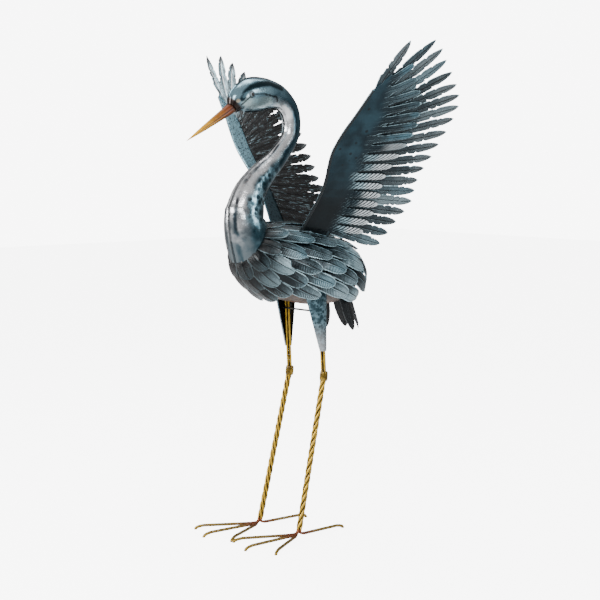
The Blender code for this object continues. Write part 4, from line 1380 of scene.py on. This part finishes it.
class CRANE_OT_neck(bpy.types.Operator):
    """Build the neck, head and eyes"""

    bl_idname = "crane.neck"
    bl_label = "Neck and head"

    def rings(self):
        """Rings from the beak's root over the crown to the seat, and where each point is on them."""
        keys = [(row, *values) for row, values in enumerate(NECK_LINE)]
        rings, spots = [], []
        stops = [part / HEAD_STEPS for part in range(HEAD_KEYS * HEAD_STEPS)]
        count = (len(keys) - HEAD_KEYS - 1) * NECK_STEPS + 1
        stops += [HEAD_KEYS + part / NECK_STEPS for part in range(count)]
        for at in stops:
            y, rise, radius, share = smooth_through(keys, at)
            ahead, behind = smooth_through(keys, at + 0.05), smooth_through(keys, at - 0.05)
            along = Vector((ahead[0] - behind[0], ahead[1] - behind[1])).normalized()
            ring = []
            for across, out in ring_section(radius, radius * share):
                spot = (y - along.y * out, rise + along.x * out)
                ring.append(Vector((across, spot[0] + SHIFT, BODY_TOP + spot[1])))
                spots.append((at, across / radius, out / radius))
            rings.append(ring)
        last, hem = rings[-1], seat_ring(HEM_ANGLE, NECK_HEM_LIFT, SEAM_FLANGE)
        for share in (part / SWELL_RINGS for part in range(1, SWELL_RINGS)):
            ring = [a.lerp(b, share) for a, b in zip(last, hem)]
            middle = sum(ring, Vector()) / len(ring)
            swell = NECK_SWELL * 4 * share * (1 - share)
            rings.append([point + (point - middle).normalized() * swell for point in ring])
        tuck = seat_ring(HEM_ANGLE, NECK_HEM_LIFT - 0.0012, SEAM_FLANGE)
        rings += [hem, tuck, seat_ring(HEM_ANGLE - 0.05, -NECK_SEAT_DEPTH, 0.0)]
        for extra in range(len(rings) - len(stops)):
            at = len(keys) - 1 + (extra + 1) / 10
            spots += [(at, *spot[1:]) for spot in spots[:len(last)]]
        return rings, spots

    def marks(self, point, at, across, out):
        """What the paint and the hammer find at a point, with the head's marks on the head only."""
        here = Vector((point.y - SHIFT, point.z - BODY_TOP))
        eye = step((here - Vector(EYE_PLACE)).length, 0.0088, 0.0074)
        line = max(step(away_from(here, EYE_LINE), 0.0026, 0.0012), eye)
        brow = step(away_from(here, BROW_LINE), 0.0085, 0.0040)
        on_head = at < HEAD_END
        return {
            "run": at,
            "front": -out,
            "seam": 1.0 if abs(point.x) < SEAM_WIDTH * 0.6 and at > 1.2 else 0.0,
            "hammer": step(at, 8.5, 11.0) * step(abs(across), 0.15, 0.5),
            "brow": brow if on_head else 0.0,
            "line": line if on_head else 0.0,
            "cream": step((here - Vector(CREAM_PLACE)).length, 0.0052, 0.0026),
            "cheek": step(away_from(here, CHEEK_LINE), 0.017, 0.007),
        }

    def paint(self, look):
        """Silver front with painted dark reflections beside its seam, slate sides, hammered teal breast and
        the marks of the head.
        """
        paint = Paint("neck_paint", 0.78, 0.28, 0.3)
        graph, place = paint.graph, paint.place
        run, front, seam, line = map(graph.attribute, ("run", "front", "seam", "line"))
        blot = graph.noise(place, 30.0, 5.0)
        loose = (blot - 0.5) * 0.8 + front
        # Painted reflections: dark streaks on the chrome front, beside the seam.
        shifted = (blot - 0.5) * 0.12 + front
        dark_reflections = shifted.step(0.84, 0.91) * shifted.fall(0.94, 0.985)
        dark_reflections = dark_reflections * graph.noise(place, 24.0, 4.0).step(0.36, 0.56, 0.25, 1.0)
        breast = (blot * 2.0 + run).step(8.9, 11.2) * loose.fall(0.35, 0.80)
        hammered = paint.group(
            "Hammered paint", dark=look.teal, light=look.ice, size=look.dimple, share=0.9
        )
        paint.set("Base Color", graph.coats(
            look.slate,
            (loose.step(0.10, 0.60), look.silver),
            (graph.noise(place, 55.0, 5.0).step(0.52, 0.70) * 0.4, look.slate),
            # painted dark reflections
            (dark_reflections, look.smear),
            (breast, hammered["Color"]),
            ((blot * 1.6 + run).step(12.5, 13.4) * 0.9, look.teal),
            (front.step(-0.45, -0.85) * 0.6, look.teal),
            (run.fall(3.2, 5.6) * 0.9, graph.mix(blot.step(0.44, 0.74), look.crown, look.slate)),
            (graph.attribute("cheek") * 0.85, look.cheek),
            (graph.attribute("brow"), look.brow),
            ((blot * 0.5 + run).fall(0.55, 0.95), FACE_BROWN),
            (graph.attribute("cream"), look.cream),
            (seam.most(line) * 0.92, look.line),
        ))
        paint.set("Roughness", blot * 0.22 + 0.13)
        paint.bump(graph.noise(place, 62.0) * run.step(5.0, 7.0, 0.2, 1.0), 0.45, 0.0030)
        return paint

    def eyes(self, look):
        """A domed eye on each side of the head, with a dark ring round a bright pupil."""
        paint = Paint("eye_enamel", 0.1, 0.12, 0.8)
        rim = paint.graph.attribute("run")
        pupil, iris, ring = EYE_COLOURS
        base = paint.graph.coats(pupil, (rim.step(0.30, 0.36), iris), (rim.step(0.62, 0.70), ring))
        paint.set("Base Color", base)
        for name, side in SIDES:
            temple = NECK_LINE[2][2] * NECK_LINE[2][3] - EYE_INSET
            middle = Vector((side * temple, EYE_PLACE[0] + SHIFT, BODY_TOP + EYE_PLACE[1]))
            rings, marks = [], []
            for part in range(1, EYE_RINGS + 1):
                turn = math.pi * part / (EYE_RINGS + 2)
                out, wide = math.cos(turn) * look.eye * 0.8, math.sin(turn) * look.eye
                places = circle(EYE_TURNS)
                rings.append([middle + Vector((side * out, wide * a, wide * b)) for a, b in places])
                marks += [{"run": part / EYE_RINGS}] * EYE_TURNS
            mesh = loft("eye", rings, marks)
            plain_piece(f"{name}_eye", mesh, paint, "neck_paint", "neck_and_head")

    def execute(self, context):
        look = context.scene.crane_body
        rings, spots = self.rings()
        points = (point for ring in rings for point in ring)
        mesh = loft("neck", rings, [self.marks(point, *spot) for point, spot in zip(points, spots)])
        worked_piece(
            "neck_and_head_skin", mesh, "Hammer", self.paint(look), "neck_and_head",
            size=look.dimple, depth=look.dimple_depth, dent=0.0006,
        )
        self.eyes(look)
        return {"FINISHED"}


class CRANE_OT_beak(bpy.types.Operator):
    """Build the pointed beak"""

    bl_idname = "crane.beak"
    bl_label = "Beak"

    def mesh(self, look):
        """A cone with a groove along each side, whose first rings turn to fit the face."""
        (y, z, _, _), (next_y, next_z, _, _) = NECK_LINE[:2]
        face = Vector((0.0, next_y - y, next_z - z)).normalized()
        start = Vector((0.0, y + SHIFT, BODY_TOP + z)) - face * BEAK_GAP
        tip = Vector((0.0, BEAK_TIP[0] + SHIFT, BODY_TOP + BEAK_TIP[1]))
        along = (start - tip).normalized()
        rings, marks = [], []
        for share in (part / BEAK_RINGS for part in range(BEAK_RINGS + 1)):
            scale = smooth_through(BEAK_TAPER, share)[0]
            axis = face.lerp(along, min(share / 0.08, 1.0)).normalized()
            up = Vector((0.0, -axis.z, axis.y))
            ring = []
            for height, width in circle(BEAK_TURNS):
                close = math.exp(-((height / 0.12) ** 2)) * step(share, 0.96, 0.8)
                across = (BEAK_HALF_WIDTH - look.groove * close) * width * scale
                point = start + (tip - start) * share + up * BEAK_RADIUS * scale * height
                ring.append(point + Vector((across, 0.0, 0.0)))
                marks.append({"run": share, "low": -height})
            rings.append(ring)
        return loft("beak", rings, marks)

    def execute(self, context):
        look = context.scene.crane_body
        paint = Paint("beak_paint", 0.12, 0.42, 0.12)
        graph = paint.graph
        run, low = graph.attribute("run"), graph.attribute("low")
        blot = graph.noise(paint.place, 60.0, 4.0)
        paint.set("Base Color", graph.coats(
            look.beak_root,
            (((blot - 0.5) * 0.35 + run).step(0.12, 0.95), look.beak_tip),
            # darker at the root of the beak and along its mouth line
            (run.step(0.0, 0.10, 0.75, 0.0), BEAK_DARK),
            (low.step(0.15, 0.75) * 0.75, BEAK_UNDER),
            (abs(low).step(0.05, 0.15, 0.9, 0.0), BEAK_DARK),
        ))
        paint.bump(graph.noise(paint.place, 240.0), 0.2, 0.0005)
        plain_piece("beak_skin", self.mesh(look), paint, "beak_paint", "beak")
        return {"FINISHED"}


def path_mesh(name, paths):
    """A mesh of edges for rods to follow, from points with their core, ribs and place on the toe."""
    points, edges, cores, marks = [], [], [], {"ribbed": [], "toe": []}
    for path in paths:
        for at, (point, core, ribbed, toe) in enumerate(path):
            if at:
                edges.append((len(points) - 1, len(points)))
            points.append(point)
            cores.extend(core)
            marks["ribbed"].append(ribbed)
            marks["toe"].append(toe)
    mesh = bpy.data.meshes.new(name)
    mesh.from_pydata(points, edges, [])
    for key, values in marks.items():
        mesh.attributes.new(key, "FLOAT", "POINT").data.foreach_set("value", values)
    mesh.attributes.new("core", "FLOAT_VECTOR", "POINT").data.foreach_set("vector", cores)
    return mesh


def bezier(corners, share):
    """Point of a smooth curve that starts and ends at its outer corners."""
    points = list(corners)
    while len(points) > 1:
        points = [a.lerp(b, share) for a, b in zip(points, points[1:])]
    return points[0]


def facing(axis):
    """Turn that brings Z to an axis."""
    return axis.to_track_quat("Z", "X").to_matrix()


class CRANE_OT_legs(bpy.types.Operator):
    """Build the legs: twisted rods that splay into toes, collars, upper rods and the brace"""

    bl_idname = "crane.legs"
    bl_label = "Legs and feet"

    def paint(self, look):
        """Gold paint with a dark wash and painted shade between the strands and in the toes' ribs, copper
        round the foot and olive along the toes.
        """
        paint = Paint("rod_paint", 0.7, 0.36, 0.2)
        graph = paint.graph
        toe, groove, reach = map(graph.attribute, ("toe", "groove", "reach"))
        blot, wear = graph.noise(paint.place, 90.0, 4.0), graph.noise(paint.place, 420.0)
        reach = (blot - 0.5) * (look.rod * 0.9) + reach
        foot = graph.coats(
            look.copper,
            (toe.step(0.12, 0.45), look.olive),
            (blot.step(0.45, 0.7, 0.0, 0.35), look.copper),
            (toe.step(0.80, 1.0, 0.0, 0.5), look.gold),
            # Dark wash and painted shade in the valleys of the toes' ribs.
            (groove * 0.75, look.wash),
        )
        paint.set("Base Color", graph.coats(
            # Dark wash and painted shade: the rods' sides toward the bundle's middle stay dark, and only
            # their outer sides are gold.
            look.wash,
            (reach.step(look.rod * 1.75, look.rod * 2.35), look.gold),
            (blot.step(0.52, 0.72, 0.0, 0.45), look.olive),
            (toe.step(0.0, 0.06), foot),
            (wear.step(0.55, 0.7, 0.0, 0.5), look.wash),
        ))
        paint.set("Roughness", blot * 0.25 + 0.20)
        paint.bump(wear, 0.35, 0.0005)
        return paint

    def strand(self, look, side, strand, hub, below):
        """Path of one rod from the knee down the twist and out along its toe."""
        down = below - hub
        axis = down.normalized()
        turn_to = facing(axis)
        bundle = look.rod * math.sqrt(2)
        toe_angle = math.radians(side * (TOE_ANGLES[strand] + TOE_TURN))
        out = Vector((math.sin(toe_angle), -math.cos(toe_angle), 0.0))
        turns = side * down.length / look.twist
        bend_at = FOOT_BEND / down.length
        swing = math.radians(-90 + side * (strand - 1) * 360 / STRANDS)
        path = []
        for part in range(TWIST_STEPS + 1):
            share = 1 - (1 - bend_at) * part / TWIST_STEPS
            turn = swing + math.tau * turns * (share - bend_at)
            flat = Vector((bundle * math.cos(turn), bundle * math.sin(turn), 0.0))
            core = hub + down * share
            path.append((core + turn_to @ flat, core, 0.0, 0.0))
        corner = path[-1][0]
        ground = Vector((hub.x, hub.y, 0.0))
        reach, level = TOE_LENGTHS[strand], TOE_HEIGHT + 0.001
        elbow = ground + out * 0.003 + Vector((0.0, 0.0, level + 0.0015))
        away = ground + out * 0.020 + Vector((0.0, 0.0, level))
        for share in (part / BEND_STEPS for part in range(1, BEND_STEPS + 1)):
            point = bezier((corner, corner - axis * 0.008, elbow, away), share)
            path.append((point, core, step(share, 0.7, 1.0), 0.03 + 0.1 * share))
        profile = (
            (reach - TOE_DROP, level),
            (reach - 0.45 * TOE_DROP, TOE_HEIGHT - 0.0008),
            (reach - 0.12 * TOE_DROP, TOE_HEIGHT - 0.0032),
            (reach, 0.0018),
            (reach, 0.0),
        )
        for run, z in profile:
            point = ground + out * run + Vector((0.0, 0.0, z))
            path.append((point, core, 1.0, 0.13 + 0.87 * run / reach))
        return path

    def collar(self, look, knee, axis):
        """A turned collar with a rounded rim at each end and a shallow waist."""
        profile = COLLAR_OUTLINE + tuple((radius, -height) for radius, height in reversed(COLLAR_OUTLINE))
        rings = []
        for radius, height in profile:
            wide = radius * KNEE_RADIUS
            flat = [(wide * a, wide * b, height * KNEE_HEIGHT / 2) for a, b in circle(COLLAR_TURNS)]
            rings.append([knee + facing(axis) @ Vector(place) for place in flat])
        return loft("collar", rings, {"toe": 0.0, "reach": look.rod * COLLAR_REACH})

    def brace(self, look, bundle):
        """The thin rod in front of both legs, under the belly."""
        height = BODY_CENTRE[1] - BODY_HALF_HEIGHT - BRACE_DROP
        share = (height - KNEE_PLACE[2]) / (UPPER_LEG_TOP[2] - KNEE_PLACE[2])
        x, y = between(KNEE_PLACE[:2], UPPER_LEG_TOP[:2], share)
        y += SHIFT - bundle - BRACE_RADIUS - 0.0003
        half = x + BRACE_OVERRUN
        paint = Paint("brace_paint", 0.2, 0.42, 0.2)
        blot = paint.graph.noise(paint.place, 180.0)
        paint.set("Base Color", paint.graph.mix(blot, look.black, BRACE_GREY))
        path = [(Vector((end, y, height)), Vector((end, y, height)), 0.0, 0.0) for end in (-half, half)]
        mesh = path_mesh("leg_brace", [path])
        worked_piece(
            "leg_brace_rod", mesh, "Rods", paint, "leg_brace", radius=BRACE_RADIUS, **STRAIGHT_ROD
        )

    def execute(self, context):
        look = context.scene.crane_legs
        paint = self.paint(look)
        for name, side in SIDES:
            hub = Vector((side * FOOT_SPREAD, SHIFT, HUB_HEIGHT))
            knee, top = (Vector((side * x, y + SHIFT, z)) for x, y, z in (KNEE_PLACE, UPPER_LEG_TOP))
            lower, upper = (knee - hub).normalized(), (top - knee).normalized()
            below, above = knee - lower * KNEE_HEIGHT * 0.4, knee + upper * KNEE_HEIGHT * 0.4
            paths = [self.strand(look, side, strand, hub, below) for strand in range(STRANDS)]
            worked_piece(
                f"{name}_leg_rods_twisted", path_mesh("leg", paths), "Rods", paint, f"{name}_leg_rods",
                radius=look.rod, rib_pitch=look.rib_pitch, rib_depth=look.rib_depth,
                toe_share=look.toe / look.rod,
            )
            paths = []
            for a, b in circle(STRANDS):
                flat = facing(upper) @ Vector((a, b, 0.0)) * look.rod * math.sqrt(2)
                paths.append([(end + flat, end, 0.0, 0.0) for end in (above, top)])
            worked_piece(
                f"{name}_upper_leg_rods", path_mesh("upper_leg", paths), "Rods", paint,
                f"{name}_upper_leg", radius=look.rod, **STRAIGHT_ROD,
            )
            mesh = self.collar(look, knee, lower + upper)
            plain_piece(f"{name}_knee_collar", mesh, paint, "rod_paint", f"{name}_knee")
        self.brace(look, look.rod * (1 + math.sqrt(2)))
        return {"FINISHED"}


class CRANE_OT_thighs(bpy.types.Operator):
    """Build the hammered shell on the outside of each thigh"""

    bl_idname = "crane.thighs"
    bl_label = "Thighs"

    def mesh(self, side, sheet):
        """Half a cone with an outer and an inner wall, joined by a rim."""
        points, marks = [], []
        for layer in (1, 0):
            for share in (level / THIGH_LEVELS for level in range(THIGH_LEVELS + 1)):
                x, y, z = between(THIGH_TOP, THIGH_BOTTOM, share)
                half, depth = between(THIGH_TOP_HALF, THIGH_BOTTOM_HALF, share)
                for part in range(THIGH_STEPS + 1):
                    turn = THIGH_WRAP * (2 * part / THIGH_STEPS - 1)
                    out = (depth + sheet * layer) * math.cos(turn)
                    back = (half + sheet * layer) * math.sin(turn)
                    points.append((side * (x + out), y + SHIFT + back, z))
                    marks.append({"run": share, "hammer": 1.0, "inner": 1.0 - layer})
        rows, columns = THIGH_LEVELS + 1, THIGH_STEPS + 1
        size = rows * columns
        border = list(range(columns))
        border += [row * columns + THIGH_STEPS for row in range(1, rows)]
        border += [THIGH_LEVELS * columns + part for part in range(THIGH_STEPS - 1, -1, -1)]
        border += [row * columns for row in range(THIGH_LEVELS - 1, 0, -1)]
        faces = grid_faces(0, rows, columns)
        faces += [face[::-1] for face in grid_faces(size, rows, columns)]
        faces += [(b, a, a + size, b + size) for a, b in zip(border, border[1:] + border[:1])]
        return mesh_of("thigh", points, faces, marks, outward=True)

    def execute(self, context):
        look = context.scene.crane_body
        paint = Paint("thigh_paint", 0.55, 0.32, 0.3)
        graph = paint.graph
        hammered = paint.group(
            "Hammered paint", dark=look.teal, light=look.ice, size=look.dimple * 0.5, share=0.5
        )
        paint.set("Base Color", graph.coats(
            hammered["Color"],
            (graph.attribute("run").step(0.45, 1.0) * 0.35, look.silver),
            (graph.attribute("inner").step(0.4, 0.6), THIGH_BLACK),
        ))
        paint.bump(graph.noise(paint.place, 240.0, 2.0), 0.15, 0.0006)
        for name, side in SIDES:
            worked_piece(
                f"{name}_thigh_shell", self.mesh(side, context.scene.crane_plumage.sheet), "Hammer",
                paint, f"{name}_thigh", size=look.dimple * 0.6, depth=look.dimple_depth * 0.6,
            )
        return {"FINISHED"}


class CRANE_OT_stage(bpy.types.Operator):
    """Set the floor, the lights and the camera"""

    bl_idname = "crane.stage"
    bl_label = "Stage"

    def backdrop(self, look, scene):
        """The floor and the world, both brighter for the camera than as light."""
        paint = Paint("floor", 0.0, 0.9, 0.0)
        paint.set("Base Color", look.floor)
        paint.set("Emission Color", WHITE)
        seen = paint.graph.out("ShaderNodeLightPath", (), "Is Camera Ray")
        paint.set("Emission Strength", seen * (look.glow * FLOOR_GLOW))
        reach = FLOOR_REACH
        mesh = bpy.data.meshes.new("floor")
        corners = [(-reach, -reach, 0), (reach, -reach, 0), (reach, reach, 0), (-reach, reach, 0)]
        mesh.from_pydata(corners, [], [(0, 1, 2, 3)])
        mesh.materials.append(paint.material)
        new_object("floor", mesh)
        world = bpy.data.worlds.new("studio")
        world.use_nodes = True
        graph = Graph(world.node_tree)
        light = world.node_tree.nodes["Background"].inputs
        seen = graph.out("ShaderNodeLightPath", (), "Is Camera Ray")
        strength = graph.out("ShaderNodeMapRange", (seen, 0.0, 1.0, look.sky, look.glow))
        graph.put(light["Color"], WHITE)
        graph.put(light["Strength"], strength)
        scene.world = world

    def execute(self, context):
        look = context.scene.crane_stage
        self.backdrop(look, context.scene)
        aim = Vector((0.0, look.aim_back, look.aim))
        lights = (
            ("front_left", look.key, 1.1, (-1.15, -2.6, 1.5)),
            ("front_right", look.key, 1.2, (1.25, -2.5, 1.9)),
            ("side", look.rim, 1.5, (2.9, 0.9, 1.7)),
            ("low_left", look.rim * 0.5, 0.8, (-2.7, -1.3, 0.9)),
            ("top", look.rim, 1.6, (-0.4, 0.5, 3.1)),
        )
        for name, power, size, spot in lights:
            light = bpy.data.lights.new(name, "AREA")
            light.energy = power
            light.size = size
            lamp = new_object(name, light)
            lamp.location = spot
            lamp.rotation_euler = (aim - Vector(spot)).to_track_quat("-Z", "Y").to_euler()
        level = math.cos(look.elevation)
        back = Vector((
            math.sin(look.azimuth) * level, -math.cos(look.azimuth) * level, math.sin(look.elevation)
        ))
        camera = bpy.data.cameras.new("photo_camera")
        camera.lens = look.lens
        camera.sensor_width = SENSOR_WIDTH
        viewer = new_object("photo_camera", camera)
        viewer.location = aim + back * look.distance
        viewer.rotation_euler = (-back).to_track_quat("-Z", "Y").to_euler()
        context.scene.camera = viewer
        return {"FINISHED"}


OPERATORS = (
    CRANE_OT_body,
    CRANE_OT_body_feathers,
    CRANE_OT_tail,
    CRANE_OT_wings,
    CRANE_OT_neck,
    CRANE_OT_beak,
    CRANE_OT_legs,
    CRANE_OT_thighs,
    CRANE_OT_stage,
)


class CRANE_PT_panel(bpy.types.Panel):
    """Sizes and steps of the crane statue"""

    bl_label = "Crane garden statue"
    bl_idname = "CRANE_PT_panel"
    bl_space_type = "VIEW_3D"
    bl_region_type = "UI"
    bl_category = "Crane"

    def draw(self, context):
        for operator in OPERATORS:
            self.layout.operator(operator.bl_idname)
        for group in (getattr(context.scene, key) for key in SETTINGS):
            box = self.layout.box()
            for key in group.__annotations__:
                box.prop(group, key)


SETTINGS = {
    "crane_plumage": CranePlumage,
    "crane_body": CraneBody,
    "crane_legs": CraneLegs,
    "crane_stage": CraneStage,
}
CLASSES = (*SETTINGS.values(), *OPERATORS, CRANE_PT_panel)


def register():
    """Register the classes and hang the settings on the scene."""
    for item in CLASSES:
        bpy.utils.register_class(item)
    for key, group in SETTINGS.items():
        setattr(bpy.types.Scene, key, PointerProperty(type=group))


def unregister():
    """Take the settings and the classes away again."""
    for key in SETTINGS:
        delattr(bpy.types.Scene, key)
    for item in reversed(CLASSES):
        bpy.utils.unregister_class(item)


def main():
    """Build every piece."""
    register()
    for name in [operator.bl_idname.split(".")[1] for operator in OPERATORS]:
        getattr(bpy.ops.crane, name)()


if __name__ == "__main__":
    main()
